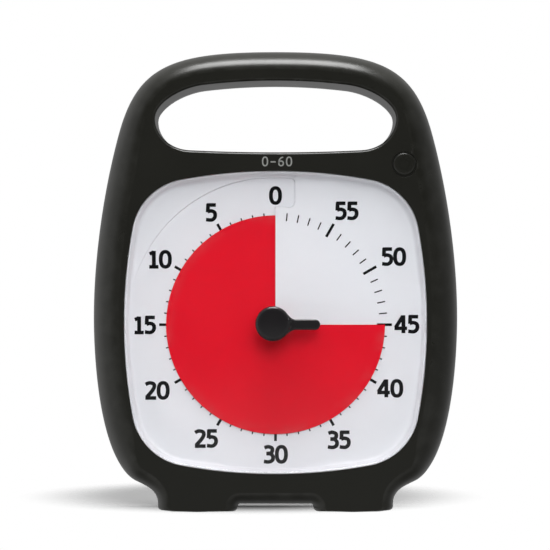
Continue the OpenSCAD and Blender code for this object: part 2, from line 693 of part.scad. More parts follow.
module knob() {
    fillet = 2.2;
    arm_ends = [arm_root_x, knob_arm - arm_r];
    root_x = knob_head[0] + knob_d / 2 + fillet - 0.5;
    color(black_colour) difference() {
        union() {
            translate([knob_head[0], knob_y[1], knob_head[1]]) rotate([90, 0, 0]) rotate_extrude()
                polygon(knob_section(knob_d / 2, knob_y[1] - knob_y[0]));
            hull() for (x = arm_ends) {
                rod([x, dial_z], arm_y[0] + arm_edge, arm_y[1], arm_r);
                rod([x, dial_z], arm_y[0], arm_y[1], arm_r - arm_edge);
            }
            plate(arm_y[0] + arm_edge, arm_y[1]) for (s = [-1, 1])
                polygon(concat([[arm_root_x + 1, dial_z]],
                    [for (a = [0:15:60])
                        [root_x - fillet * sin(a), dial_z + s * (arm_r + fillet * (1 - cos(a)))]],
                    [[arm_root_x + 2, dial_z + s * (arm_r + 1.6)]]));
            rod([0, dial_z], knob_y[1] - 1, knob_stem_y, knob_stem_r);
        }
        rod([0, dial_z], arbor_y[0] - 0.3, knob_stem_y + far, arbor_front_r);
    }
}

module minute_arbor() {
    flat_end_y = -4;
    color(steel_colour) {
        rod([0, dial_z], arbor_y[0], knob_stem_y, arbor_front_r);
        translate([-arbor_flat / 2, knob_stem_y, dial_z - arbor_flat / 2])
            cube([arbor_flat, flat_end_y - knob_stem_y, arbor_flat]);
        rod([0, dial_z], flat_end_y, 10, arbor_r);
        rod([0, dial_z], 0.3, 1.3, 2.7);
        rod([0, dial_z], 10, arbor_y[1], arbor_end_r);
    }
}

// ---------------------------------------------------------------- quartz movement

carrier_y = [-4, -1.6];
case_w = 56;
case_split_y = 7;
case_front_y = [-1.5, 0];
case_back_y = [14, 15.5];
case_wall = 1.2;
case_corner = [25, 25];
case_corner_r = 2.2;
case_pilot_r = 1.05;
pivot_r = 0.5;
pivot_gap = 0.05;
pivot_y = [-0.9, 14.9];             // ends of the blind holes that the arbors turn in
bushing_y = -3.9;
bushing_r = 3.5;
terminal_x = [10, 16];
terminal_half_w = 1.5;
terminal_fit = 0.1;

// Gear centres, measured from the dial's centre
third_at = 9 * [cos(60), sin(60)];
seconds_at = third_at + 6.8 * [cos(10), sin(10)];
intermediate_at = seconds_at + 5.6 * [cos(-20), sin(-20)];
rotor_at = intermediate_at + 5.28 * [cos(-60), sin(-60)];
pivots = [third_at, seconds_at, intermediate_at, rotor_at];
function from_dial(p) = [p[0], dial_z + p[1]];

// One tooth: each point's angle in half tooth widths and its height in modules
tooth = [[-1.42, -1.2], [-1, 0], [-0.42, 0.9], [0.42, 0.9], [1, 0], [1.42, -1.2]];

// Outline of a small gear, with one tooth centred at the angle phase
function gear_path(teeth, m, phase) =
    let (pitch_r = teeth * m / 2, half = 90 / teeth * 0.86)
    [for (k = [0:teeth - 1]) for (q = tooth)
        let (a = phase + 360 * k / teeth + half * q[0], r = pitch_r + q[1] * m) [r * cos(a), r * sin(a)]];

// A wheel and its pinion moulded on one arbor
module geared_arbor(at, wheel_y, pinion_y, wheel, pinion) {
    translate([at[0], 0, dial_z + at[1]]) {
        plate(wheel_y[0], wheel_y[1]) polygon(gear_path(wheel[0], wheel[1], wheel[2]));
        plate(pinion_y[0], pinion_y[1]) polygon(gear_path(pinion[0], pinion[1], pinion[2]));
        rod([0, 0], pivot_y[0] + 0.1, pivot_y[1] - 0.1, pivot_r);
    }
}

module movement_carrier() {
    half = 32;
    corner_r = 6;
    color(black_colour) difference() {
        union() {
            plate(carrier_y[0], carrier_y[1])
                polygon(rounded_rect([0, dial_z], 2 * half, 2 * half, corner_r));
            for (p = dial_bosses) let (s = sign(p[0]), t = sign(p[1] - dial_z)) {
                hull() {
                    rod(p, carrier_y[0], carrier_y[1], ear_r);
                    rod(from_dial((half - corner_r) * [s, t]), carrier_y[0], carrier_y[1], corner_r);
                }
                rod(p, ear_y, carrier_y[1], ear_r);
            }
        }
        rod([0, dial_z], carrier_y[0] - far, carrier_y[1] + far, 8);
        for (p = dial_bosses) rod(p, ear_y - far, carrier_y[1] + far, dial_screw_r + screw_clearance);
        case_shell_corners(carrier_y[0] - far, carrier_y[1] + far, small_screw_r - screw_bite);
    }
}

module carrier_screws() {
    color(steel_colour) for (p = dial_bosses) screw(p, carrier_y[1], dial_pilot_y + 0.3, 2.4, 1.4, dial_screw_r);
}

module case_shell_corners(y0, y1, r) {
    for (s = [-1, 1]) for (t = [-1, 1])
        rod([s * case_corner[0], dial_z + t * case_corner[1]], y0, y1, r);
}

module movement_case_front() {
    color([0.93, 0.92, 0.88]) difference() {
        union() {
            difference() {
                plate(case_front_y[0], case_split_y) polygon(rounded_rect([0, dial_z], case_w, case_w, 4));
                plate(case_front_y[1], case_split_y + far)
                    polygon(rounded_rect([0, dial_z], case_w - 2 * case_wall, case_w - 2 * case_wall, 3));
            }
            case_shell_corners(case_front_y[1] - 0.5, case_split_y, case_corner_r);
            rod([0, dial_z], bushing_y, case_front_y[0] + 0.5, bushing_r);
        }
        rod([0, dial_z], bushing_y - far, case_front_y[1] + far, arbor_r + pivot_gap);
        for (p = pivots) rod(from_dial(p), pivot_y[0], far, pivot_r + pivot_gap);
        case_shell_corners(case_front_y[0] - far, case_split_y + far, case_pilot_r);
    }
}

module movement_case_rear() {
    color([0.93, 0.92, 0.88]) difference() {
        union() {
            difference() {
                plate(case_split_y, case_back_y[1]) polygon(rounded_rect([0, dial_z], case_w, case_w, 4));
                plate(case_split_y - far, case_back_y[0])
                    polygon(rounded_rect([0, dial_z], case_w - 2 * case_wall, case_w - 2 * case_wall, 3));
            }
            case_shell_corners(case_split_y, case_back_y[1], case_corner_r);
        }
        rod([0, dial_z], case_back_y[0] - far, pivot_y[1], arbor_end_r + pivot_gap);
        for (p = pivots) rod(from_dial(p), case_back_y[0] - far, pivot_y[1], pivot_r + pivot_gap);
        case_shell_corners(case_split_y - far, case_back_y[1] + far, case_pilot_r);
        for (x = terminal_x) let (half = terminal_half_w + terminal_fit)
            box([x - half, 9.7, dial_z + case_w / 2 - case_wall - far],
                [x + half, 10.3, dial_z + case_w / 2 + far]);
    }
}

module movement_screws() {
    color(steel_colour) for (s = [-1, 1]) for (t = [-1, 1])
        screw([s * case_corner[0], dial_z + t * case_corner[1]], case_back_y[1], -3.6, 1.9, 1.1,
            small_screw_r);
}

wheel_module = 0.2;
rotor_module = 0.22;
centre_module = 0.25;

module centre_wheel() {
    color(gear_colour) difference() {
        translate([0, 0, dial_z]) plate(1.5, 2.3) polygon(gear_path(64, centre_module, 60 + 180 / 64));
        rod([0, dial_z], 1, 3, arbor_r + pivot_gap);
        for (a = [0:60:300]) rod(from_dial(4.8 * [cos(a), sin(a)]), 1, 3, 1.5);
    }
}

module clutch_spring() {
    color(steel_colour) difference() {
        union() {
            rod([0, dial_z], 2.4, 2.7, 2.3);
            for (a = [0:120:240])
                translate([0, 0, dial_z]) rotate([0, a, 0]) box([-0.6, 2.4, 0], [0.6, 2.7, 2.8]);
        }
        rod([0, dial_z], 2, 4, arbor_r);
    }
}

module third_wheel() {
    color(gear_colour) geared_arbor(third_at, [3.4, 4], [1.2, 2.6],
        [60, wheel_module, 10 + 180 / 60], [8, centre_module, 240]);
}

module seconds_wheel() {
    color(gear_colour) geared_arbor(seconds_at, [5.2, 5.8], [3.1, 4.3],
        [48, wheel_module, -20 + 180 / 48], [8, wheel_module, 190]);
}

module intermediate_wheel() {
    color(gear_colour) geared_arbor(intermediate_at, [7, 7.6], [4.9, 6.1],
        [40, rotor_module, -60 + 180 / 40], [8, wheel_module, 160]);
}

module rotor() {
    color(steel_colour) {
        translate([rotor_at[0], 0, dial_z + rotor_at[1]]) {
            plate(6.7, 7.9) polygon(gear_path(8, rotor_module, 120));
            rod([0, 0], 8.2, 10.8, 2.5);
            rod([0, 0], pivot_y[0] + 0.1, pivot_y[1] - 0.1, pivot_r);
        }
    }
}

coil_at = [13.5, -16];              // middle of the coil, from the dial's centre
coil_y = 9.4;

module stator() {
    legs = [[4, -18], [7, -18], [7, -4.6], [20.5, -4.6], [20.5, -18], [24, -18], [24, 7], [21, 9.4],
        [13.6, 9.4], [12.6, 2], [4, -1]];
    color(steel_colour) {
        difference() {
            translate([0, 0, dial_z]) plate(9, 9.8) polygon(legs);
            rod(from_dial(rotor_at), 8, 11, 3);
            rod(from_dial(intermediate_at), 8, 11, 0.9);
        }
        rod_x(coil_y, dial_z + coil_at[1], 6.8, 20.7, 0.9);
    }
}

module coil() {
    winding = 10;
    flange_t = 0.8;
    color([0.72, 0.40, 0.22]) difference() {
        union() {
            rod_x(coil_y, dial_z + coil_at[1], coil_at[0] - winding / 2, coil_at[0] + winding / 2, 2.9);
            for (s = [-1, 1]) let (x = coil_at[0] + s * (winding + flange_t) / 2)
                rod_x(coil_y, dial_z + coil_at[1], x - flange_t / 2, x + flange_t / 2, 3.6);
        }
        rod_x(coil_y, dial_z + coil_at[1], 0, 30, 0.95);
    }
}

movement_board_x = [-24.6, -7];

module movement_board() {
    color(board_colour) {
        box([movement_board_x[0], 11, dial_z - 20], [movement_board_x[1], 11.8, dial_z + 20]);
        rod([-16, dial_z - 6], 9.6, 11, 3.2);
    }
}

module quartz_crystal() {
    color(steel_colour) {
        translate([-16, 9.8, dial_z + 4]) cylinder(h = 7, r = 1.1);
        translate([-16, 9.8, dial_z + 3.3]) cylinder(h = 0.7, r = 0.8);
    }
}

module movement_terminals() {
    color(brass_colour) for (x = terminal_x)
        box([x - terminal_half_w, 9.75, dial_z + 23], [x + terminal_half_w, 10.25, dial_z + 31]);
}

module alarm_cam() {
    color(gear_colour) difference() {
        rod([0, dial_z], 5, 6.5, 4.4);
        rod([0, dial_z], 4, 8, arbor_r);
        box([3.6, 4, dial_z - 1], [5, 8, dial_z + 1]);
    }
}

module alarm_contact() {
    color(brass_colour) {
        box([-5.1, 5.2, dial_z - 7], [-4.8, 6.3, dial_z + 1.5]);
        box([-8.6, 5.2, dial_z - 7.3], [-4.8, 6.3, dial_z - 7]);
        box([-8.6, 5.2, dial_z - 9.6], [-8.3, 11, dial_z - 7]);
    }
}

// ---------------------------------------------------------------- electronics

main_board_x = [30, 58];
main_board_z = [76, 116];

module main_board() {
    color(board_colour) difference() {
        box([main_board_x[0], main_board_y[0], main_board_z[0]],
            [main_board_x[1], main_board_y[1], main_board_z[1]]);
        for (p = board_boss_points) rod(p, main_board_y[0] - far, main_board_y[1] + far, small_screw_r + 0.2);
    }
}

module control_chip() {
    pins = 7;
    color(black_colour) {
        box([35, 10.6, 97], [41, 12.3, 109]);
        for (k = [0:pins - 1]) let (z = 98.2 + 1.6 * k) {
            box([33.6, 11.6, z], [35.2, 12.5, z + 0.5]);
            box([40.8, 11.6, z], [42.4, 12.5, z + 0.5]);
        }
    }
}

module volume_potentiometer() {
    color([0.35, 0.35, 0.37]) difference() {
        box([volume_at[0] - 5.5, main_board_y[1], volume_at[1] - 5.5],
            [volume_at[0] + 5.5, 18.6, volume_at[1] + 5.5]);
        rod(volume_at, 15, 20, volume_shaft_r + 0.05);
    }
}

module volume_shaft() {
    color(steel_colour) rod(volume_at, 15.2, volume_shaft_end_y, volume_shaft_r);
}

module volume_dial() {
    flutes = 24;
    color(black_colour) difference() {
        union() {
            rod(volume_at, volume_floor_y + 0.5, back_y + 0.6, volume_r);
            rod(volume_at, back_y + 0.6, back_y + 1, volume_r - 0.5);
        }
        for (k = [1:flutes - 1]) let (a = 360 * k / flutes + 90)
            rod(volume_at + (volume_r + 0.35) * [cos(a), sin(a)], back_y - 2, back_y + far, 0.8);
        box([volume_at[0] - 0.5, back_y + 0.5, volume_at[1] + 3],
            [volume_at[0] + 0.5, back_y + far, volume_at[1] + 8]);
        rod(volume_at, volume_floor_y, volume_shaft_end_y, volume_shaft_r);
    }
}

piezo_y = 18.5;                     // the step in the cup that the sounding disc lies on

module buzzer_cup() {
    color(black_colour) difference() {
        rod(buzzer_at, cup_y, inner_back_y, buzzer_r);
        rod(buzzer_at, cup_y + 1.2, inner_back_y + far, buzzer_r - 1.7);
        rod(buzzer_at, piezo_y, inner_back_y + far, buzzer_r - 0.8);
    }
}

module piezo_disc() {
    color(brass_colour) {
        rod(buzzer_at, piezo_y, piezo_y + 0.2, buzzer_r - 0.9);
        rod(buzzer_at, piezo_y + 0.2, piezo_y + 0.45, buzzer_r - 4);
    }
}

plunger_y = -7.2;
plunger_r = 1.2;
button_stop_y = [-10.9, -10.1];     // the flange that keeps the button in its guide
button_back_y = -11.5;
mark_r = [1.7, 2.2];                // the ring engraved on the button
mark_half_gap = 0.8;
mark_half_w = 0.25;

module power_button() {
    mark_y = face_y + 0.1;
    color(housing_colour) {
        difference() {
            union() {
                rod(button_at, mark_y, button_back_y, button_r);
                rod(button_at, face_y - 0.2, mark_y, button_r - 0.3);
            }
            difference() {
                rod(button_at, face_y - far, mark_y, mark_r[1]);
                rod(button_at, face_y - far, mark_y + 0.1, mark_r[0]);
                box([button_at[0] - mark_half_gap, face_y - far, button_at[1] + mark_half_gap],
                    [button_at[0] + mark_half_gap, mark_y + 0.1, button_at[1] + mark_r[1] + 0.4]);
            }
            box([button_at[0] - mark_half_w, face_y - far, button_at[1] + 0.6],
                [button_at[0] + mark_half_w, mark_y, button_at[1] + mark_r[1] + 0.4]);
        }
        rod(button_at, button_back_y, button_stop_y[0], 3);
        rod(button_at, button_stop_y[0], button_stop_y[1], button_r + button_groove[0]);
        rod(button_at, button_stop_y[1], plunger_y, 1.5);
    }
}

module switch_plunger() {
    color(black_colour) rod(button_at, plunger_y, -5.2, plunger_r);
}

module switch_body() {
    half = 3;
    color([0.20, 0.20, 0.21]) difference() {
        box([button_at[0] - half, -6.4, button_at[1] - half],
            [button_at[0] + half, button_board_y, button_at[1] + half]);
        rod(button_at, -8, -4, plunger_r + 0.07);
    }
}

module button_board() {
    color(board_colour) difference() {
        box([45.2, button_board_y, 130.6], [57, button_board_y + 1.6, 141.2]);
        rod(board_post, -6, 0, small_screw_r + 0.2);
    }
}

module board_screws() {
    color(steel_colour) {
        screw(board_post, button_board_y + 1.6, board_pilot_y + 0.4, 1.8, 1, small_screw_r);
        for (p = board_boss_points) screw(p, main_board_y[0], board_screw_end_y, 1.8, 1, small_screw_r);
    }
}

// ---------------------------------------------------------------- battery and its door

cell_x = [-23, -23 + cell_l];
contact_x = cell_pocket[0] - 0.6;

module battery_cell() {
    color([0.16, 0.17, 0.19]) {
        rod_x(cell_at[0], cell_at[1], cell_x[0] + 0.3, cell_x[1], cell_d / 2);
        rod_x(cell_at[0], cell_at[1], cell_x[0], cell_x[0] + 0.3, cell_d / 2 - 1.2);
        rod_x(cell_at[0], cell_at[1], cell_x[1], cell_x[1] + 1.4, 2.7);
    }
}

module battery_spring() {
    turns = 4;
    wire_r = 0.4;
    base_x = -cell_pocket[0] + 0.5;
    rise = cell_x[0] - base_x - 1.6 * wire_r - 0.02;
    steps = 12;
    color(steel_colour) {
        wire([for (k = [0:turns * steps])
            let (t = k / (turns * steps), a = 360 * turns * t, r = 5.2 - 2.4 * t)
            [base_x + 0.6 * wire_r + rise * t, cell_at[0] + r * cos(a), cell_at[1] + r * sin(a)]],
            wire_r, 1, [1, 0, 0]);
        box([base_x - 0.5, cell_at[0] - 6.3, cell_at[1] - 6.5], [base_x, cell_at[0] + 6.3, cell_at[1] + 6.5]);
        box([base_x - 0.5, 9.6, cell_at[1] + 6.5], [base_x, 11.4, tray_z[1] + 0.6]);
    }
}

module battery_contact() {
    color(steel_colour) {
        box([contact_x, cell_at[0] - 5, cell_at[1] - 5], [cell_pocket[0], cell_at[0] + 5, cell_at[1] + 5]);
        rod_x(cell_at[0], cell_at[1], cell_x[1] + 1.4, contact_x, 2.2);
        box([contact_x, 9.6, cell_at[1] + 5], [cell_pocket[0], 11.4, tray_z[1] + 0.6]);
    }
}

module battery_door() {
    grooves = 5;
    color(housing_colour) difference() {
        union() {
            box([-door_half_w, back_y - door_t + 0.1, door_z[0]], [door_half_w, back_y, door_z[1]]);
            box([-door_tab_w / 2, back_y - door_t + 0.1, door_z[1] - 1],
                [door_tab_w / 2, back_y - 0.4, door_z[1] + door_tab_h]);
            rod_x(door_pivot_y, door_z[0], -door_half_w, door_half_w, door_pin_r);
        }
        for (k = [0:grooves - 1])
            plate(back_y - 0.5, back_y + far)
                polygon(rounded_rect([0, door_z[1] - 3 - 1.6 * k], 18 - 2.4 * k, 0.8, 0.39));
        box([-door_half_w - 1, door_pivot_y, door_z[0] - 2], [door_half_w + 1, back_y + 1, door_z[0]]);
    }
}

module case_screws() {
    color(steel_colour) for (p = case_bosses) screw(p, case_seat_y, case_pilot_y + 0.5, 2.8, 1.8, case_screw_r);
}

// ---------------------------------------------------------------- internal leads

lead_r = 0.5;
board_mid_y = (main_board_y[0] + main_board_y[1]) / 2;

module battery_leads() {
    top = tray_z[1] + 0.6;
    color([0.75, 0.10, 0.10]) {
        wire([[-28.75, 10.5, top], [-28.7, 10.2, top + 1.6], [-22, 8, 42.2], [0, 8, 42.2], [22, 8, 42.2],
            [30.5, 8, 44.5], [36.5, 10, 54], [37.5, board_mid_y, 66],
            [37.5, board_mid_y, main_board_z[0]]], lead_r);
        wire([[28.7, 10.5, top], [28.9, 11, top + 2], [32, 12.5, 48], [34, board_mid_y, 60],
            [34, board_mid_y, main_board_z[0]]], lead_r);
    }
}

module movement_leads() {
    top = dial_z + 31;
    color([0.10, 0.10, 0.60]) {
        wire([[10, 10, top], [10, 10, top + 1.5], [14, 10.6, top + 4.5], [24, 12.6, 108.5],
            [27.5, board_mid_y, 108.5], [main_board_x[0], board_mid_y, 108.5]], lead_r);
        wire([[16, 10, top], [16, 10, top + 1], [19, 10.8, top + 2.4], [25, 12.8, 105.5],
            [27.5, board_mid_y, 105.5], [main_board_x[0], board_mid_y, 105.5]], lead_r);
    }
}

module buzzer_leads() {
    color([0.80, 0.70, 0.10]) {
        wire([[-40, 15.8, 100], [-40, 14, 100], [-37, 12.5, 105], [-20, 12, 109.5], [10, 12, 111.5],
            [24, 12.8, 112], [27.5, board_mid_y, 112], [main_board_x[0], board_mid_y, 112]], lead_r);
        wire([[-44, 15.8, 104], [-44, 14, 104], [-41, 12.5, 109.5], [-20, 12, 113.5], [10, 12, 115],
            [24, 12.8, 114.8], [27.5, board_mid_y, 114.8], [main_board_x[0], board_mid_y, 114.8]], lead_r);
    }
}

module button_leads() {
    start_y = button_board_y + 1.6;
    color([0.15, 0.45, 0.20]) {
        wire([[55, start_y, 133], [55, start_y + 2, 133], [54, 6, 129], [50, 11, 122],
            [48, board_mid_y, 118.5], [48, board_mid_y, main_board_z[1]]], lead_r);
        wire([[51.5, start_y, 139.2], [51.5, start_y + 2, 139.2], [54.5, 8, 133.5], [54, 11.5, 124],
            [52.5, board_mid_y, 119], [52.5, board_mid_y, main_board_z[1]]], lead_r);
    }
}

front_shell();
rear_shell();
lens();
dial_face();
time_disc();
disc_hub();
knob();
minute_arbor();
movement_carrier();
carrier_screws();
movement_case_front();
movement_case_rear();
movement_screws();
centre_wheel();
clutch_spring();
third_wheel();
seconds_wheel();
intermediate_wheel();
rotor();
stator();
coil();
movement_board();
quartz_crystal();
movement_terminals();
alarm_cam();
alarm_contact();
main_board();
control_chip();
volume_potentiometer();
volume_shaft();
volume_dial();
buzzer_cup();
piezo_disc();
power_button();
switch_plunger();
switch_body();
button_board();
board_screws();
battery_cell();
battery_spring();
battery_contact();
battery_door();
case_screws();
battery_leads();
movement_leads();
buzzer_leads();
button_leads();
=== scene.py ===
import json
import math

import bmesh
import bpy
import numpy as np
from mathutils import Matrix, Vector, geometry


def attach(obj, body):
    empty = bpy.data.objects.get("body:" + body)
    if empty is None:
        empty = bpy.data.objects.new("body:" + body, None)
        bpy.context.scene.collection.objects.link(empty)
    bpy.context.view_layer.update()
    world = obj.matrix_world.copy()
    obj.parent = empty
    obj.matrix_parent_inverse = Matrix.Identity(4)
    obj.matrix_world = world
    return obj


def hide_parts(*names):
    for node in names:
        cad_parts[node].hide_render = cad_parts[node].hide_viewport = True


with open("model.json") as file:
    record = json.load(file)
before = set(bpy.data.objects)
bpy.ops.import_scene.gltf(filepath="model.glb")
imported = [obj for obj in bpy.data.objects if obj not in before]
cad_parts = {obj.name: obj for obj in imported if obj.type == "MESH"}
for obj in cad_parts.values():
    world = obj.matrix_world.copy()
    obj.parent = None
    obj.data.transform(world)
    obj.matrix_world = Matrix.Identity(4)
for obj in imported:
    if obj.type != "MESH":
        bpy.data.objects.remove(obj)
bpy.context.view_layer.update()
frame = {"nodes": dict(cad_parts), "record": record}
MM = 0.001

# ---------------------------------------------------------------- sizes, as in the part's source

BODY_H = 178.0
HALF_W = 70.7
FACE_Y = -17.0
BACK_Y = 24.0
WALL = 2.2
FRONT_ROLL, ROLL_DEPTH = 11.0, 15.0
BACK_ROLL, BACK_ROLL_DEPTH = 9.0, 14.0
PART_Y, PART_CHAMFER = 3.5, 0.35
INNER_FACE_Y = FACE_Y + WALL
INNER_BACK_Y = BACK_Y - WALL
FAR = 2.0

ARCH_H, ARCH_R = 2.8, 1.2
FOOT_IN, FOOT_OUT = 14.7, 45.2
FOOT_SIDE, ANKLE_Z = FOOT_OUT + 0.3, 3.6
TOE_R, TOE_LIFT, TOE_L = 1.5, 0.4, 5.0
HEEL_R = ARCH_H - ARCH_R - 0.1
HANDLE_ROLL, ARCH_ROLL, SOLE_ROLL, TUB_ROLL = 0.73, 0.43, 0.05, 0.86
HANDLE_FROM_Z, HANDLE_REACH, FOOT_REACH = 130, 40, 26

GRIP_HALF_W, GRIP_Z, GRIP_HALF_H = 45.8, 152.05, 13.25
GRIP_EDGE_R = 1.6
GRIP_DRAFT_FRONT, GRIP_DRAFT_BACK = 0.5, 1.3
EDGE_PAST, GRIP_EDGE_PAST = 0.06, 0.12

WINDOW_HALF, WINDOW_Z = 58.2, 72.9
WINDOW_SIDE_R, WINDOW_CORNER_R = 200.0, 23.0
WINDOW_SIDE_STEPS, WINDOW_CORNER_STEPS = 22, 26
WINDOW_EDGE_R = 0.3
LENS_T = 1.5
LENS_HOLE_R = 4.5

DIAL_Z, DIAL_Y, DIAL_T = 72.0, -9.6, 0.7
RAMP_RISE = 1.6
RAMP_LOW_Y = DIAL_Y + RAMP_RISE
RAMP_INNER_R, RAMP_OUTER_R = 6.0, 45.2
RECESS_R, RECESS_PAST, RECESS_CORNER_R = 57.0, 7.6, 2.6
STEP_W = 0.35
RIM_INSET = 2.0
RIM_Y = INNER_FACE_Y + LENS_T + 0.1
EAR_Y, EAR_T, EAR_R = -6.9, 2.4, 3.1
BORDER_BACK_Y = EAR_Y - 0.15
DISC_R, DISC_INNER_R, DISC_T, DISC_GAP = 42.3, 4.4, 0.3, 0.3
TURN_BACK = 90.0

KNOB_R, KNOB_X, KNOB_Z = 6.7, -1.0, DIAL_Z + 0.35
KNOB_BACK_Y, KNOB_FRONT_Y = FACE_Y - 0.6, -24.85
KNOB_ARM, KNOB_ARM_HALF = 17.1, 2.0
BUTTON_AT, BUTTON_R = (49.5, 133.7), 4.2
BUTTON_GROOVE = 0.7
KNOB_STEM_Y, ARBOR_FRONT_Y, ARBOR_R = -13.2, -21.5, 1.3
VOLUME_AT, VOLUME_R, VOLUME_FLOOR_Y = (44.0, 96.0), 9.2, 20.8
BUZZER_AT, BUZZER_R = (-44.0, 96.0), 12.5
SLOT_REACH, SLOT_PITCH, SLOT_H = 9.0, 2.9, 1.4
DOOR_HALF_W, DOOR_LOW_Z, DOOR_HIGH_Z, DOOR_T = 31.0, 20.5, 40.3, 1.9
DOOR_GAP, DOOR_PIN_R, DOOR_PIN_Y = 0.3, 1.0, BACK_Y - 1.1
DOOR_TAB_HALF, DOOR_TAB_H = 6.0, 1.6
TRAY_FRONT_Y, TRAY_HIGH_Z = 5.5, 39.5
CELL_Z, POCKET_HALF_W, POCKET_HALF_H = 30.0, 29.0, 7.8
CASE_SEAT_Y, CASE_WELL_R = 15.0, 3.1
DIAL_POST_R, CASE_POST_R, BOARD_PILOT_R, BOARD_Y = 3.0, 4.0, 0.85, 14.1
DIAL_BOSSES = [(s * 52.8, DIAL_Z + h) for h in (53.6, -52.4) for s in (-1, 1)]
WEB_REACH, WEB_HALF_T = 7.0, 0.7
BOARD_POST = (54.6, 138.6)
BOARD_BOSSES = [(33.5, 79.5), (55.0, 112.5)]
CASE_BOSSES = [(s * x, z) for x, z in ((53.1, 150.0), (36.0, 9.5)) for s in (-1, 1)]

# ---------------------------------------------------------------- curves


def bezier(points, count):
    """Points along a cubic curve, without its last."""
    p = np.array(points, float)
    t = np.linspace(0, 1, count, endpoint=False)[:, None]
    return (1 - t) ** 3 * p[0] + 3 * t * (1 - t) ** 2 * p[1] + 3 * t * t * (1 - t) * p[2] + t ** 3 * p[3]


def straight(a, b, count):
    """Points along a line, without its last."""
    t = np.linspace(0, 1, count, endpoint=False)[:, None]
    return np.array(a, float) * (1 - t) + np.array(b, float) * t


def arc(centre, radius, start, end, count):
    """Points on an arc from start to end, in degrees anticlockwise from +X."""
    a = np.radians(np.linspace(start, end, count))
    return np.stack([centre[0] + radius * np.cos(a), centre[1] + radius * np.sin(a)], 1)


def circle(centre, radius, count):
    return arc(centre, radius, 0, -360, count + 1)[:-1]


def smooth(t):
    c = np.clip(t, 0, 1)
    return c * c * (3 - 2 * c)


def rolled(start, end, count):
    """Pairs of 1 - cosine and 1 - sine from one angle to another, for an edge that turns over."""
    return [(1 - math.cos(a), 1 - math.sin(a)) for a in np.radians(np.linspace(start, end, count))]


def closed(right, bottom):
    """A closed path from its right half, which starts at the top, and its lowest middle point."""
    left = right[1:][::-1] * [-1, 1]
    return np.concatenate([right, [bottom], left])


def outward(path):
    d = np.roll(path, -1, 0) - np.roll(path, 1, 0)
    return np.stack([-d[:, 1], d[:, 0]], 1) / np.linalg.norm(d, axis=1)[:, None]


def grown(path, d):
    return path + d * outward(path)


def lifted(path, y):
    y = np.broadcast_to(y, len(path))
    return np.stack([path[:, 0], y, path[:, 1]], 1)


SHOULDER = (HALF_W - 9.7, BODY_H - 32)
WIDEST = (HALF_W, 75)
HIP = (HALF_W - 17.3, 11.2)
TOP_CURVE = [(0, BODY_H), (41, BODY_H), (HALF_W - 16.9, BODY_H - 5.5), SHOULDER]
UPPER_CURVE = [SHOULDER, (HALF_W - 4.5, BODY_H - 51), (HALF_W, 100), WIDEST]
LOWER_CURVE = [WIDEST, (HALF_W, 55.5), (HALF_W - 2.9, 16.9), HIP]
ANKLE = [HIP, (HALF_W - 21.1, 9.4), (FOOT_SIDE + 0.5, 8), (FOOT_SIDE, ANKLE_Z)]
ARCH_IN = FOOT_IN - ARCH_R


def housing_outline():
    """Outline of the housing with its feet, clockwise from the top as seen from the front."""
    toe = (FOOT_SIDE - TOE_R, TOE_LIFT + TOE_R)
    right = np.concatenate([
        bezier(TOP_CURVE, 52), bezier(UPPER_CURVE, 40), bezier(LOWER_CURVE, 48), bezier(ANKLE, 14),
        straight((FOOT_SIDE, ANKLE_Z), (FOOT_SIDE, toe[1]), 4),
        arc(toe, TOE_R, 0, -90, 12),
        straight((toe[0], TOE_LIFT), (FOOT_OUT - TOE_L, 0), 5)[1:],
        straight((FOOT_OUT - TOE_L, 0), (FOOT_IN + HEEL_R, 0), 24),
        arc((FOOT_IN + HEEL_R, HEEL_R), HEEL_R, -90, -180, 12),
        arc((ARCH_IN, ARCH_H - ARCH_R), ARCH_R, 0, 90, 10),
        straight((ARCH_IN - 1, ARCH_H), (0, ARCH_H), 12)])
    return closed(right, (0, ARCH_H))


def tub_outline():
    """Outline without the feet, for the hollow inside."""
    right = np.concatenate([
        bezier(TOP_CURVE, 24), bezier(UPPER_CURVE, 14), bezier(LOWER_CURVE, 20),
        bezier([HIP, (43, 7.1), (34, ARCH_H), (0, ARCH_H)], 14)])
    return closed(right, (0, ARCH_H))


def grip_outline():
    """Outline of the handle's opening at the parting plane."""
    top, bottom = GRIP_Z + GRIP_HALF_H, GRIP_Z - GRIP_HALF_H
    shoulder = (GRIP_HALF_W - 17.8, top - 1.7)
    heel = (GRIP_HALF_W - 12.8, bottom + 0.8)
    side = (GRIP_HALF_W, GRIP_Z - 0.9)
    t = np.linspace(0, 1, 18, endpoint=False)
    over = np.stack([t * shoulder[0], top - 1.7 * t ** 2], 1)
    u = np.linspace(1, 0, 18, endpoint=False)[1:]
    under = np.stack([u * heel[0], bottom + 0.8 * u ** 2], 1)
    right = np.concatenate([
        over, bezier([shoulder, (GRIP_HALF_W - 9.3, top - 2.9), (GRIP_HALF_W, top - 8.5), side], 24),
        bezier([side, (GRIP_HALF_W, bottom + 6.8), (GRIP_HALF_W - 5, bottom + 1.2), heel], 20),
        [heel], under])
    return closed(right, (0, bottom))


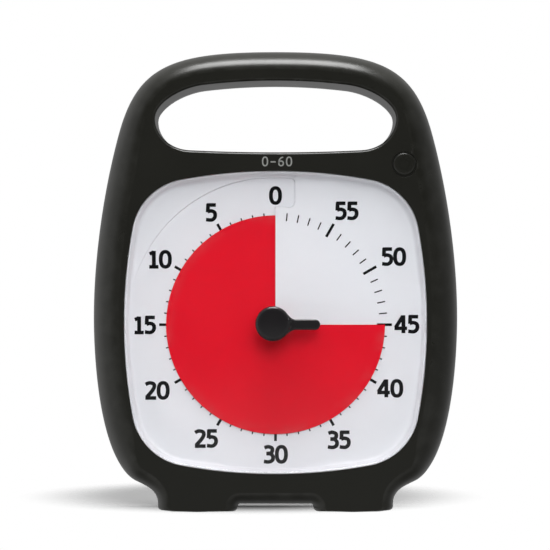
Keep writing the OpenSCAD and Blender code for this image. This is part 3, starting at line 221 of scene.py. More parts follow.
def window_outline(d):
    """The window, a square with bowed sides and round corners, grown by d all round."""
    side_centre = WINDOW_SIDE_R - WINDOW_HALF
    c = (-side_centre + math.sqrt(2 * (WINDOW_SIDE_R - WINDOW_CORNER_R) ** 2 - side_centre ** 2)) / 2
    lean = math.degrees(math.atan2(c, c + side_centre))
    a = np.radians(-lean + 2 * lean * np.arange(WINDOW_SIDE_STEPS) / WINDOW_SIDE_STEPS)
    b = np.radians(lean + (90 - 2 * lean) * np.arange(WINDOW_CORNER_STEPS) / WINDOW_CORNER_STEPS)
    big, small = WINDOW_SIDE_R + d, WINDOW_CORNER_R + d
    side = np.stack([big * np.sin(a), big * np.cos(a) - side_centre], 1)
    corner = np.stack([c + small * np.sin(b), c + small * np.cos(b)], 1)
    x, z = np.concatenate([side, corner]).T
    turned = []
    for q in range(4):
        s, k = math.sin(-math.pi / 2 * q), math.cos(-math.pi / 2 * q)
        turned.append(np.stack([x * k - z * s, x * s + z * k], 1))
    return np.concatenate(turned) + [0, WINDOW_Z]


def rounded_rect(centre, w, h, r, steps=6):
    path = []
    for q, (sx, sz) in enumerate(((1, 1), (1, -1), (-1, -1), (-1, 1))):
        corner = (centre[0] + sx * (w / 2 - r), centre[1] + sz * (h / 2 - r))
        path.append(arc(corner, r, 90 - 90 * q, -90 * q, steps + 1))
    return np.concatenate(path)


OUTLINE = housing_outline()
TUB = tub_outline()
GRIP = grip_outline()


def towards_handle(z):
    """How much of the full roll is left at a height."""
    return 1 - (1 - HANDLE_ROLL) * smooth((z - HANDLE_FROM_Z) / HANDLE_REACH)


def roll_push(path):
    """Where the roll takes each point of the outline, as a share of the full roll."""
    n, x, z = outward(path), np.abs(path[:, 0]), path[:, 1]
    low = ARCH_ROLL + (1 - ARCH_ROLL) * smooth((z - ANKLE_Z) / FOOT_REACH)
    share = np.minimum(towards_handle(z), low)
    across = np.clip((x - FOOT_IN) / (FOOT_OUT - FOOT_IN), 0, 1)
    narrowed = np.stack([np.sign(path[:, 0]) * ARCH_ROLL * (1 - 2 * across), -SOLE_ROLL * n[:, 1]], 1)
    on_foot = (z < ANKLE_Z + 0.01) & (x > FOOT_IN - 0.01)
    return np.where(on_foot[:, None], narrowed, -share[:, None] * n)


PUSH = roll_push(OUTLINE)
ROLL_SHARE = np.minimum(1, np.linalg.norm(PUSH, axis=1) / HANDLE_ROLL)


def shell_ring(c, s, flat_y, inwards, roll, depth):
    """A ring of the housing's outside; c falls from 1 to 0 and s rises to 1 as its edge turns to the side."""
    return lifted(OUTLINE + roll * c * PUSH, flat_y + inwards * depth * ROLL_SHARE * s)


def tub_ring(inset, roll, y):
    share = TUB_ROLL * towards_handle(TUB[:, 1])
    return lifted(TUB - (inset + roll * share)[:, None] * outward(TUB), y)


# ---------------------------------------------------------------- meshes


def new_mesh(name, points, faces):
    mesh = bpy.data.meshes.new(name)
    mesh.from_pydata((np.array(points, float) * MM).tolist(), [], [list(map(int, f)) for f in faces])
    obj = bpy.data.objects.new(name, mesh)
    bpy.context.scene.collection.objects.link(obj)
    return obj


def faces_out(obj):
    bm = bmesh.new()
    bm.from_mesh(obj.data)
    bmesh.ops.recalc_face_normals(bm, faces=bm.faces)
    bm.to_mesh(obj.data)
    bm.free()
    return obj


def loft(name, rings):
    """A closed solid through rings of equal length."""
    n, m = len(rings[0]), len(rings)
    i = np.arange(n)
    j = (i + 1) % n
    faces = [f for k in range(0, (m - 1) * n, n) for f in np.stack([k + i, k + j, k + n + j, k + n + i], 1)]
    faces += [i[::-1], (m - 1) * n + i]
    return faces_out(new_mesh(name, np.concatenate(rings), faces))


def wound(name, rows):
    """A closed solid along open rows of equal length, which go round its section."""
    n, m = len(rows[0]), len(rows)
    i = np.arange(n - 1)
    faces = []
    for here, there in zip(range(0, m * n, n), [*range(n, m * n, n), 0]):
        faces += list(np.stack([here + i, here + i + 1, there + i + 1, there + i], 1))
    faces += [[k * n for k in range(m)], [k * n + n - 1 for k in range(m)][::-1]]
    return faces_out(new_mesh(name, np.concatenate(rows), faces))


def plate(name, path, y0, y1):
    return loft(name, [lifted(path, y0), lifted(path, y1)])


def box(name, lo, hi):
    path = np.array([(lo[0], hi[2]), (hi[0], hi[2]), (hi[0], lo[2]), (lo[0], lo[2])], float)
    return plate(name, path, lo[1], hi[1])


def rod(name, centre, y0, y1, r, sides=48):
    return plate(name, circle(centre, r, sides), y0, y1)


def turning(name, centre, profile, sides=96):
    """A solid turned about an axis along Y; the profile lists radius and y, from one end to the other."""
    return loft(name, [lifted(circle(centre, max(r, 0.01), sides), y) for r, y in profile])


def worked(obj):
    """Works the modifiers into a plain mesh."""
    graph = bpy.context.evaluated_depsgraph_get()
    mesh = bpy.data.meshes.new_from_object(obj.evaluated_get(graph))
    obj.modifiers.clear()
    old, obj.data = obj.data, mesh
    bpy.data.meshes.remove(old)
    mesh.name = obj.name
    return obj


def carve(obj, tools, operation="DIFFERENCE"):
    """Cuts the tools out of the object, or joins them to it, and removes the tools."""
    for tool in tools:
        tool.hide_render = True
        step = obj.modifiers.new("carve", "BOOLEAN")
        step.operation = operation
        step.object = tool
        step.solver = "MANIFOLD"
    worked(obj)
    for tool in tools:
        bpy.data.objects.remove(tool)
    return obj


def finish_edges(obj, sharp=32.0, worn=1.0):
    """Smooth shading that keeps real corners, and a mask of the rubbed edges for the finish."""
    mesh = obj.data
    mesh.shade_smooth()
    mesh.set_sharp_from_angle(angle=math.radians(sharp))
    bm = bmesh.new()
    bm.from_mesh(mesh)
    rubbed = np.zeros(len(bm.verts))
    for edge in bm.edges:
        if len(edge.link_faces) == 2 and max(f.calc_area() for f in edge.link_faces) < 4 * MM * MM:
            bend = edge.calc_face_angle_signed(0.0)
            for v in edge.verts:
                rubbed[v.index] = max(rubbed[v.index], bend / math.radians(40))
    bm.free()
    mask = mesh.attributes.new("rubbed", "FLOAT", "POINT")
    mask.data.foreach_set("value", worn * np.clip(rubbed, 0, 1).astype(np.float32))
    step = obj.modifiers.new("normals", "WEIGHTED_NORMAL")
    step.keep_sharp = True
    return worked(obj)


def dress(obj, body, slot, *nodes):
    """Gives a finished piece its material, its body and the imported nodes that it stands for."""
    obj.data.materials.clear()
    obj.data.materials.append(FINISHES[slot])
    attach(obj, body)
    if nodes:
        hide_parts(*nodes)
    return obj


# ---------------------------------------------------------------- shader groups


def new_group(name, inputs, outputs):
    """A group of shader nodes whose inputs and outputs are all plain values."""
    tree = bpy.data.node_groups.new(name, "ShaderNodeTree")
    for label, value in inputs.items():
        tree.interface.new_socket(label, in_out="INPUT", socket_type="NodeSocketFloat").default_value = value
    for label in outputs:
        tree.interface.new_socket(label, in_out="OUTPUT", socket_type="NodeSocketFloat")
    return tree, tree.nodes.new("NodeGroupInput").outputs, tree.nodes.new("NodeGroupOutput").inputs


def add(tree, kind, links=(), **settings):
    """Adds a node; links pairs its inputs with values or with sockets."""
    node = tree.nodes.new(kind)
    for key, value in settings.items():
        setattr(node, key, value)
    for key, value in links:
        if isinstance(value, bpy.types.NodeSocket):
            tree.links.new(value, node.inputs[key])
        else:
            node.inputs[key].default_value = value
    return node


def maths(tree, operation, a, b=0.5, c=None, clamp=False):
    links = [(0, a), (1, b)] + ([] if c is None else [(2, c)])
    return add(tree, "ShaderNodeMath", links, operation=operation, use_clamp=clamp).outputs[0]


def vector(tree, **parts):
    return add(tree, "ShaderNodeCombineXYZ", [(axis.upper(), v) for axis, v in parts.items()]).outputs[0]


def vector_maths(tree, operation, a, b):
    return add(tree, "ShaderNodeVectorMath", [(0, a), (1, b)], operation=operation).outputs[0]


def on_object(tree):
    """Where a point lies on its object."""
    return add(tree, "ShaderNodeTexCoord").outputs["Object"]


def noise(tree, place, scale, detail=2.0):
    links = [("Vector", place), ("Scale", scale), ("Detail", detail)]
    return add(tree, "ShaderNodeTexNoise", links).outputs[0]


def between(tree, value, low, high, **settings):
    """How far a value has come from low to high, as a share of the way."""
    links = [("Value", value), ("From Min", low), ("From Max", high)]
    return add(tree, "ShaderNodeMapRange", links, **settings).outputs[0]


def per_millimetre(tree, size):
    """The texture scale that makes a feature as large as its size in millimetres."""
    return maths(tree, "DIVIDE", 1 / MM, size)


def grain_group():
    """Fine moulded grain with small pits, and a slow drift of tone. Sizes are in millimetres."""
    tree, source, out = new_group("moulded_grain", {"Grain Size": 0.4, "Drift Size": 25.0},
                                  ["Height", "Drift", "Speck"])
    place = on_object(tree)
    fine = per_millimetre(tree, source["Grain Size"])
    grain = noise(tree, place, fine)
    cells = add(tree, "ShaderNodeTexVoronoi", [("Vector", place), ("Scale", fine)], feature="SMOOTH_F1")
    drift = noise(tree, place, per_millimetre(tree, source["Drift Size"]), 3.0)
    pits = maths(tree, "MULTIPLY", cells.outputs["Distance"], 0.6)
    tree.links.new(maths(tree, "ADD", grain, pits), out["Height"])
    tree.links.new(maths(tree, "SUBTRACT", drift, 0.5), out["Drift"])
    tree.links.new(between(tree, grain, 0.62, 0.75), out["Speck"])
    return tree


def wear_group():
    """Where edges are rubbed smooth, and where dust has settled on what faces up."""
    tree, source, out = new_group("wear_and_dust", {"Patch Size": 6.0}, ["Rubbed", "Dust"])
    place = on_object(tree)
    patch = noise(tree, place, per_millimetre(tree, source["Patch Size"]), 4.0)
    edge = add(tree, "ShaderNodeAttribute", attribute_name="rubbed").outputs["Fac"]
    rubbed = maths(tree, "MULTIPLY", edge, between(tree, patch, 0.4, 0.65))
    up = add(tree, "ShaderNodeSeparateXYZ", [(0, add(tree, "ShaderNodeNewGeometry").outputs["Normal"])])
    level = between(tree, up.outputs["Z"], 0.3, 1.0)
    motes = between(tree, noise(tree, place, 700.0, 1.0), 0.55, 0.8)
    tree.links.new(rubbed, out["Rubbed"])
    tree.links.new(maths(tree, "MULTIPLY", level, motes), out["Dust"])
    return tree


def brushed_group():
    """Fine lines left by drawing or rolling metal, along X."""
    tree, source, out = new_group("drawn_metal", {"Line Size": 0.15, "Stretch": 0.05}, ["Height"])
    along = vector_maths(tree, "MULTIPLY", on_object(tree), vector(tree, x=source["Stretch"], y=1.0, z=1.0))
    tree.links.new(noise(tree, along, per_millimetre(tree, source["Line Size"])), out["Height"])
    return tree


GRAIN, WEAR, BRUSHED = grain_group(), wear_group(), brushed_group()

# ---------------------------------------------------------------- materials


def linear(rgb, gain=1.0):
    """An sRGB colour of 0 to 255 as Blender's linear one, made lighter or darker by a gain."""
    c = [v / 255 for v in rgb]
    return tuple(gain * (v / 12.92 if v <= 0.04045 else ((v + 0.055) / 1.055) ** 2.4) for v in c) + (1.0,)


def blended(tree, share, a, b):
    """A colour between a and b; inputs 6 and 7 and output 2 of the mix node are its colours."""
    return add(tree, "ShaderNodeMix", [(0, share), (6, a), (7, b)], data_type="RGBA").outputs[2]


def new_material(name):
    material = bpy.data.materials.new(name)
    material.use_nodes = True
    tree = material.node_tree
    return material, tree, tree.nodes["Principled BSDF"].inputs


def grain_of(tree, size):
    return add(tree, "ShaderNodeGroup", [("Grain Size", size)], node_tree=GRAIN).outputs


def bumped(tree, shader, height, depth):
    bump = add(tree, "ShaderNodeBump", [("Strength", 1.0), ("Distance", depth * MM), ("Height", height)])
    tree.links.new(bump.outputs[0], shader["Normal"])


RUBBED_COLOUR, DUST_COLOUR = linear((150, 150, 146)), linear((170, 166, 158))


def plastic(name, rgb, rough, grain=0.4, depth=0.02, drift=0.06, rubbed=0.25, dust=0.05, level=0.5,
            base=None):
    """Moulded plastic: a base colour that drifts, grain, rubbed edges and a trace of dust."""
    material, tree, shader = new_material(name)
    shader["Specular IOR Level"].default_value = level
    texture = grain_of(tree, grain)
    wear = add(tree, "ShaderNodeGroup", node_tree=WEAR).outputs
    if base is None:
        light = maths(tree, "MULTIPLY_ADD", texture["Drift"], drift, 0.5)
        colour = blended(tree, light, linear(rgb, 0.75), linear(rgb, 1.25))
    else:
        colour = base(tree)
    dusty = maths(tree, "MULTIPLY", wear["Dust"], dust)
    colour = blended(tree, maths(tree, "MULTIPLY", wear["Rubbed"], rubbed), colour, RUBBED_COLOUR)
    tree.links.new(blended(tree, dusty, colour, DUST_COLOUR), shader["Base Color"])
    gloss = maths(tree, "MULTIPLY_ADD", texture["Drift"], 0.12, rough)
    gloss = maths(tree, "SUBTRACT", gloss, maths(tree, "MULTIPLY", wear["Rubbed"], 0.12), clamp=True)
    tree.links.new(maths(tree, "ADD", gloss, dusty, clamp=True), shader["Roughness"])
    bumped(tree, shader, texture["Height"], depth)
    return material


def metal(name, rgb, rough):
    """Drawn or rolled metal with fine lines and faint stains."""
    material, tree, shader = new_material(name)
    shader["Metallic"].default_value = 1.0
    lines = add(tree, "ShaderNodeGroup", node_tree=BRUSHED).outputs["Height"]
    stain = maths(tree, "MULTIPLY_ADD", grain_of(tree, 1.2)["Drift"], 1.4, 0.6, clamp=True)
    tree.links.new(blended(tree, stain, linear(rgb, 0.8), linear(rgb, 1.08)), shader["Base Color"])
    tree.links.new(maths(tree, "MULTIPLY_ADD", lines, 0.16, rough), shader["Roughness"])
    bumped(tree, shader, lines, 0.004)
    return material


def clear_plastic(name):
    """Polished clear plastic that lets the lamps through to what is behind it."""
    material, tree, shader = new_material(name)
    shader["Base Color"].default_value = (0.985, 0.99, 0.993, 1.0)
    shader["IOR"].default_value = 1.49
    shader["Transmission Weight"].default_value = 1.0
    tree.links.new(maths(tree, "MULTIPLY", grain_of(tree, 3.0)["Speck"], 0.02), shader["Roughness"])
    through = add(tree, "ShaderNodeBsdfTransparent", [("Color", (0.975, 0.975, 0.975, 1.0))])
    mixed_with(tree, add(tree, "ShaderNodeLightPath").outputs["Is Shadow Ray"], through)
    return material


def mixed_with(tree, share, other):
    """Gives the material's main shader way to another one."""
    main = tree.nodes["Principled BSDF"].outputs[0]
    mixed = add(tree, "ShaderNodeMixShader", [(0, share), (1, main), (2, other.outputs[0])])
    tree.links.new(mixed.outputs[0], tree.nodes["Material Output"].inputs["Surface"])


def board_colour(tree):
    """Green solder mask over fine copper tracks."""
    tracks = add(tree, "ShaderNodeTexBrick", [
        ("Vector", on_object(tree)), ("Scale", 260.0), ("Mortar Size", 0.06), ("Brick Width", 1.4),
        ("Row Height", 0.5), ("Color1", linear((28, 96, 58))), ("Color2", linear((24, 84, 52))),
        ("Mortar", linear((64, 132, 80)))])
    return tracks.outputs["Color"]


def cell_colour(tree):
    """The cell's wrap, with a band of another colour at the positive end."""
    x = add(tree, "ShaderNodeSeparateXYZ", [(0, on_object(tree))]).outputs["X"]
    wrap = blended(tree, between(tree, x, 0.0118, 0.0120), linear((36, 38, 42)), linear((168, 112, 58)))
    return blended(tree, between(tree, x, 0.0255, 0.0256), wrap, linear((190, 190, 192)))


def winding_colour(tree):
    """Turns of enamelled copper wire."""
    links = [("Vector", on_object(tree)), ("Scale", 800.0), ("Distortion", 0.4)]
    turns = add(tree, "ShaderNodeTexWave", links).outputs[0]
    return blended(tree, turns, linear((140, 70, 36)), linear((205, 128, 76)))


INK = {"grain": 0.12, "depth": 0.002, "drift": 0.2, "rubbed": 0.0, "dust": 0.0}
PLASTICS = {
    "housing_plastic": ((34, 34, 29), 0.3, {
        "level": 0.33, "grain": 0.35, "depth": 0.003, "drift": 0.4, "dust": 0.02}),
    "dial_white": ((228, 229, 234), 0.45, {"grain": 0.6, "depth": 0.002, "rubbed": 0.0, "dust": 0.0}),
    "disc_red": ((221, 12, 36), 0.2, {
        "level": 0.12, "grain": 0.5, "depth": 0.006, "drift": 0.16, "rubbed": 0.1, "dust": 0.0}),
    "knob_black": ((36, 34, 36), 0.24, {"grain": 0.3, "depth": 0.003, "drift": 0.3, "level": 0.33}),
    "black_plastic": ((30, 30, 31), 0.45, {"drift": 0.3}),
    "case_plastic": ((232, 228, 214), 0.5, {"rubbed": 0.0}),
    "gear_plastic": ((226, 222, 200), 0.35, {"grain": 0.2, "rubbed": 0.0}),
    "coil_wire": ((180, 100, 56), 0.3, {"base": winding_colour, "rubbed": 0.0}),
    "circuit_board": ((26, 90, 55), 0.35, {"base": board_colour, "rubbed": 0.0}),
    "chip_black": ((24, 24, 25), 0.55, {"grain": 0.15, "rubbed": 0.0}),
    "cell_wrap": ((36, 38, 42), 0.25, {"base": cell_colour, "grain": 2.0, "rubbed": 0.0}),
    "lead_red": ((190, 26, 26), 0.4, {"rubbed": 0.0}),
    "lead_blue": ((30, 40, 160), 0.4, {"rubbed": 0.0}),
    "lead_yellow": ((210, 180, 40), 0.4, {"rubbed": 0.0}),
    "lead_green": ((40, 120, 60), 0.4, {"rubbed": 0.0}),
    "dial_ink": ((5, 5, 8), 0.6, INK | {"level": 0.1}),
    "legend_ink": ((168, 170, 166), 0.5, INK),
}
FINISHES = {name: plastic(name, rgb, rough, **more) for name, (rgb, rough, more) in PLASTICS.items()}
FINISHES["clear_lens"] = clear_plastic("clear_lens")
FINISHES["steel"] = metal("steel", (196, 197, 202), 0.22)
FINISHES["brass"] = metal("brass", (214, 176, 92), 0.24)

# ---------------------------------------------------------------- geometry node trees

KINDS = {float: "Float", int: "Int", tuple: "Vector"}


def new_tree(name, inputs):
    """A geometry tree; each input is given its first value, or the kind of thing that it takes."""
    tree = bpy.data.node_groups.new(name, "GeometryNodeTree")
    tree.interface.new_socket("Geometry", in_out="INPUT", socket_type="NodeSocketGeometry")
    for label, value in inputs.items():
        kind = value if isinstance(value, str) else KINDS[type(value)]
        socket = tree.interface.new_socket(label, in_out="INPUT", socket_type="NodeSocket" + kind)
        if kind != value:
            socket.default_value = value
    tree.interface.new_socket("Geometry", in_out="OUTPUT", socket_type="NodeSocketGeometry")
    return tree, tree.nodes.new("NodeGroupInput").outputs, tree.nodes.new("NodeGroupOutput").inputs


def end_tree(tree, source, out, geometry):
    real = add(tree, "GeometryNodeRealizeInstances", [(0, geometry)])
    coat = add(tree, "GeometryNodeSetMaterial", [(0, real.outputs[0]), ("Material", source["Material"])])
    tree.links.new(coat.outputs[0], out[0])
    return tree


def shape_of(tree, thing):
    node = add(tree, "GeometryNodeObjectInfo", [("Object", thing)], transform_space="ORIGINAL")
    return node.outputs["Geometry"]


def laid_on(tree, source, geometry):
    """Lays flat marks on the face they are printed on, along +Y."""
    face = shape_of(tree, source["Face"])
    hit = add(tree, "GeometryNodeRaycast", [
        ("Target Geometry", face), ("Ray Direction", (0, 1, 0)), ("Ray Length", 1.0)])
    lift = vector(tree, y=maths(tree, "MULTIPLY", source["Lift"], -1.0))
    place = vector_maths(tree, "ADD", hit.outputs["Hit Position"], lift)
    return add(tree, "GeometryNodeSetPosition", [
        ("Geometry", geometry), ("Selection", hit.outputs["Is Hit"]), ("Position", place)]).outputs[0]


def row_round(tree, count, index, centre, radius, total):
    """A row of points round an axis along Y, clockwise from the top, and how far each is turned."""
    row = add(tree, "GeometryNodeMeshLine", [("Count", count)])
    angle = maths(tree, "MULTIPLY", index, maths(tree, "DIVIDE", 2 * math.pi, total))
    x = maths(tree, "MULTIPLY", radius, maths(tree, "SINE", angle))
    z = maths(tree, "MULTIPLY", radius, maths(tree, "COSINE", angle))
    place = vector_maths(tree, "ADD", vector(tree, x=x, z=z), centre)
    placed = add(tree, "GeometryNodeSetPosition", [("Geometry", row.outputs["Mesh"]), ("Position", place)])
    return placed.outputs[0], vector(tree, y=angle)


def row_index(tree, first):
    return maths(tree, "ADD", add(tree, "GeometryNodeInputIndex").outputs[0], first)


MARK_LIFT = 0.03 * MM
MARK_INPUTS = {"Face": "Object", "Lift": MARK_LIFT, "Material": "Material"}


def ticks_tree():
    """Tick marks round a dial: one bar a minute, a bolder one each fifth, none at twelve."""
    tree, source, out = new_tree("minute_ticks", {
        "Minutes": 60, "Centre": (0.0, -0.02, DIAL_Z * MM),
        "Minute Inner": 0.0402, "Minute Outer": 0.0433, "Minute Width": 0.0005,
        "Five Inner": 0.0392, "Five Outer": 0.045, "Five Width": 0.00108} | MARK_INPUTS)
    bar = add(tree, "GeometryNodeMeshGrid", [
        ("Size X", 1.0), ("Size Y", 1.0), ("Vertices X", 3), ("Vertices Y", 13)])
    upright = add(tree, "GeometryNodeTransform", [
        ("Geometry", bar.outputs["Mesh"]), ("Rotation", (math.pi / 2, 0, 0))])
    minute = row_index(tree, 1.0)
    bold = maths(tree, "LESS_THAN", maths(tree, "FLOORED_MODULO", minute, 5.0), 0.5)

    def chosen(measure):
        plain = source["Minute " + measure]
        gain = maths(tree, "SUBTRACT", source["Five " + measure], plain)
        return maths(tree, "ADD", plain, maths(tree, "MULTIPLY", gain, bold))

    inner, outer, width = chosen("Inner"), chosen("Outer"), chosen("Width")
    middle = maths(tree, "MULTIPLY", maths(tree, "ADD", inner, outer), 0.5)
    count = maths(tree, "SUBTRACT", source["Minutes"], 1.0)
    points, turn = row_round(tree, count, minute, source["Centre"], middle, source["Minutes"])
    size = vector(tree, x=width, y=1.0, z=maths(tree, "SUBTRACT", outer, inner))
    copies = add(tree, "GeometryNodeInstanceOnPoints", [
        ("Points", points), ("Instance", upright.outputs[0]), ("Rotation", turn), ("Scale", size)])
    real = add(tree, "GeometryNodeRealizeInstances", [(0, copies.outputs[0])])
    return end_tree(tree, source, out, laid_on(tree, source, real.outputs[0]))


def print_tree():
    """Lays what is drawn in the object's own mesh on a face."""
    tree, source, out = new_tree("printed_marks", MARK_INPUTS)
    return end_tree(tree, source, out, laid_on(tree, source, source[0]))


def copies_tree():
    """Copies of a shape on the points of the object's own mesh."""
    tree, source, out = new_tree("copies", {"Shape": "Object", "Material": "Material"})
    points = add(tree, "GeometryNodeMeshToPoints", [("Mesh", source[0])])
    copies = add(tree, "GeometryNodeInstanceOnPoints", [
        ("Points", points.outputs[0]), ("Instance", shape_of(tree, source["Shape"]))])
    return end_tree(tree, source, out, copies.outputs[0])


def ring_tree():
    """Copies of a shape round an axis along Y, with a gap left at the top."""
    tree, source, out = new_tree("ring_of_copies", {
        "Shape": "Object", "Count": 24, "Skipped": 1, "Radius": 0.009, "Centre": (0.0, 0.0, 0.0),
        "Material": "Material"})
    count = maths(tree, "SUBTRACT", source["Count"], source["Skipped"])
    index = row_index(tree, source["Skipped"])
    points, turn = row_round(tree, count, index, source["Centre"], source["Radius"], source["Count"])
    copies = add(tree, "GeometryNodeInstanceOnPoints", [
        ("Points", points), ("Instance", shape_of(tree, source["Shape"])), ("Rotation", turn)])
    return end_tree(tree, source, out, copies.outputs[0])


def grown_by(obj, tree, **inputs):
    """Runs a tree on the object and keeps its result as a plain mesh."""
    step = obj.modifiers.new(tree.name, "NODES")
    step.node_group = tree
    sockets = {item.name.lower().replace(" ", "_"): item.identifier for item in tree.interface.items_tree
               if item.in_out == "INPUT"}
    for label, value in inputs.items():
        step[sockets[label]] = value
    return worked(obj)


def copied_to(name, shape, points):
    """One mesh with a copy of the shape at each point; the shape itself is removed."""
    obj = grown_by(new_mesh(name, points, []), COPIES, shape=shape)
    bpy.data.objects.remove(shape)
    return obj


TICKS, PRINT, COPIES, RING = ticks_tree(), print_tree(), copies_tree(), ring_tree()

# ---------------------------------------------------------------- housing


def edge_cutter(name, outline_at, face_y, r, y1, steps=7):
    """A cutter from a face inwards to y1 that leaves a rounded edge of radius r round its hole."""
    inwards = 1 if y1 > face_y else -1
    rings = [lifted(outline_at(r), face_y - inwards * FAR)]
    for c, s in rolled(90, 0, steps):
        rings.append(lifted(outline_at(r * c), face_y + inwards * (r * s - EDGE_PAST)))
    return loft(name, rings + [lifted(outline_at(0), y1)])


def round_hole(centre, r, sides=96):
    """A circle for an edge cutter, which grows it by d."""
    return lambda d: circle(centre, r + d, sides)


def grip_end(draft, face_y, inwards):
    """Rings of the handle's opening, from outside a face to where its rounded edge ends."""
    r = GRIP_EDGE_R
    rings = [lifted(grown(GRIP, draft + r), face_y - inwards * FAR)]
    for c, s in rolled(90, 0, 10):
        rings.append(lifted(grown(GRIP, draft + r * c), face_y + inwards * (r * s - GRIP_EDGE_PAST)))
    return rings


def grip_bore():
    """The handle's opening, widening from the parting plane to both faces."""
    front, back = grip_end(GRIP_DRAFT_FRONT, FACE_Y, 1), grip_end(GRIP_DRAFT_BACK, BACK_Y, -1)
    return loft("bore", front + [lifted(GRIP, PART_Y)] + back[::-1])


def grip_tube(y0, y1):
    return plate("tube", grown(GRIP, WALL - 0.2), y0, y1)


def foot_boxes(y0, y1):
    middle, half = (FOOT_IN + FOOT_OUT) / 2, (FOOT_OUT - FOOT_IN) / 2 - WALL - 1
    return [box("foot", (s * middle - half, y0, WALL), (s * middle + half, y1, HIP[1])) for s in (-1, 1)]


def rib_outline(centre, length):
    """Outline of a thin rib along X with round ends."""
    return rounded_rect(centre, length + 2 * WEB_HALF_T, 2 * WEB_HALF_T, WEB_HALF_T - 0.01, 4)


def webbed_post(p, y0, y1, r):
    """A screw post and the web that ties it to the wall beside it."""
    web = rib_outline((p[0] + np.sign(p[0]) * WEB_REACH / 2, p[1]), WEB_REACH)
    return [rod("post", p, y0, y1, r, 24), plate("web", web, y0 + 0.05, y1 - 0.05)]


def webbed_posts(places, y0, y1, r):
    return [piece for p in places for piece in webbed_post(p, y0, y1, r)]


def half_shell(name, flat_y, inwards, roll, depth):
    """One half of the housing, still solid, and the cutter for its hollow."""
    straight_y = flat_y + inwards * depth
    rings = [shell_ring(c, s, flat_y, inwards, roll, depth) for c, s in rolled(90, 0, 26)]
    rings += [lifted(OUTLINE, PART_Y - inwards * PART_CHAMFER), lifted(grown(OUTLINE, -PART_CHAMFER), PART_Y)]
    inside = [tub_ring(WALL * math.cos(a), roll * (1 - math.cos(a)),
                       straight_y - inwards * (depth - WALL) * math.sin(a))
              for a in np.radians(np.linspace(90, 15, 6))]
    inside += [lifted(grown(TUB, -WALL), y) for y in (straight_y, PART_Y + inwards * FAR)]
    return loft(name, rings[::inwards]), loft("hollow", inside[::inwards])


def front_shell():
    shell, hollow = half_shell("housing_front", FACE_Y, 1, FRONT_ROLL, ROLL_DEPTH)
    carve(hollow, foot_boxes(INNER_FACE_Y + 0.6, PART_Y + FAR), "UNION")
    posts = webbed_posts(DIAL_BOSSES, FACE_Y + 0.1, EAR_Y - EAR_T, DIAL_POST_R)
    posts += webbed_posts(CASE_BOSSES, FACE_Y + 0.6, PART_Y + 2 * FAR, CASE_POST_R)
    posts += [grip_tube(FACE_Y, PART_Y + 2 * FAR), rod("guide", BUTTON_AT, FACE_Y + 0.1, -11, 6.2),
              rod("post", BOARD_POST, FACE_Y + 0.1, -3.2, 2, 24)]
    carve(hollow, posts)
    window = edge_cutter("window", window_outline, FACE_Y, WINDOW_EDGE_R, INNER_FACE_Y + FAR)
    groove = round_hole(BUTTON_AT, BUTTON_R + BUTTON_GROOVE)
    cuts = [hollow, grip_bore(), window, edge_cutter("groove", groove, FACE_Y, 0.25, FACE_Y + 0.6),
            rod("hole", BUTTON_AT, FACE_Y - FAR, -9, BUTTON_R + 0.08, 96),
            rod("pilot", BOARD_POST, -9, -1, BOARD_PILOT_R, 24)]
    cuts += [rod("pilot", p, -8, PART_Y + FAR, 1.25, 24) for p in CASE_BOSSES]
    cuts += [rod("pilot", p, -13.8, EAR_Y, 1.1, 24) for p in DIAL_BOSSES]
    return dress(finish_edges(carve(shell, cuts)), "housing", "housing_plastic", "front_shell")


def sound_slots():
    """Cutters for the sound slots: bars with round ends, shorter away from the middle."""
    tools = []
    for k in range(-3, 4):
        half = math.sqrt(SLOT_REACH ** 2 - 7.5 * k * k)
        centre = (BUZZER_AT[0], BUZZER_AT[1] + SLOT_PITCH * k)

        def bar(d):
            return rounded_rect(centre, 2 * (half + d), SLOT_H + 2 * d, SLOT_H / 2 - 0.01 + d)

        tools.append(edge_cutter("slot", bar, BACK_Y, 0.25, BACK_Y - 3, 5))
    return tools


def even_box(name, half_w, y, z):
    """A box that reaches as far left as right; y and z list where it starts and ends."""
    return box(name, (-half_w, y[0], z[0]), (half_w, y[1], z[1]))


def hinge_rod(name, half_w, r):
    """A rod along the battery door's hinge line."""
    y, z = circle((DOOR_PIN_Y, DOOR_LOW_Z), r, 32).T
    return loft(name, [np.stack([np.full(len(y), x), y, z], 1) for x in (-half_w, half_w)])


def battery_bay():
    """Cutters for the cell's pocket and for the door, its hinge and its tab."""
    half_w, out = DOOR_HALF_W + DOOR_GAP, BACK_Y + FAR
    middle = (0, (DOOR_LOW_Z + DOOR_HIGH_Z + DOOR_GAP) / 2)
    recess = rounded_rect(middle, 2 * half_w, DOOR_HIGH_Z - DOOR_LOW_Z + DOOR_GAP, 0.5)
    pocket_z = (CELL_Z - POCKET_HALF_H, CELL_Z + POCKET_HALF_H)
    return [even_box("pocket", POCKET_HALF_W, (TRAY_FRONT_Y + 1.5, out), pocket_z),
            plate("recess", recess, BACK_Y - DOOR_T, out),
            even_box("hinge_gap", half_w, (DOOR_PIN_Y, out), (DOOR_LOW_Z - 1.3, DOOR_LOW_Z + 1)),
            hinge_rod("hinge", half_w, DOOR_PIN_R + 0.06),
            even_box("tab", DOOR_TAB_HALF + DOOR_GAP, (BACK_Y - DOOR_T, out),
                     (DOOR_HIGH_Z, DOOR_HIGH_Z + DOOR_TAB_H + 1.2))]


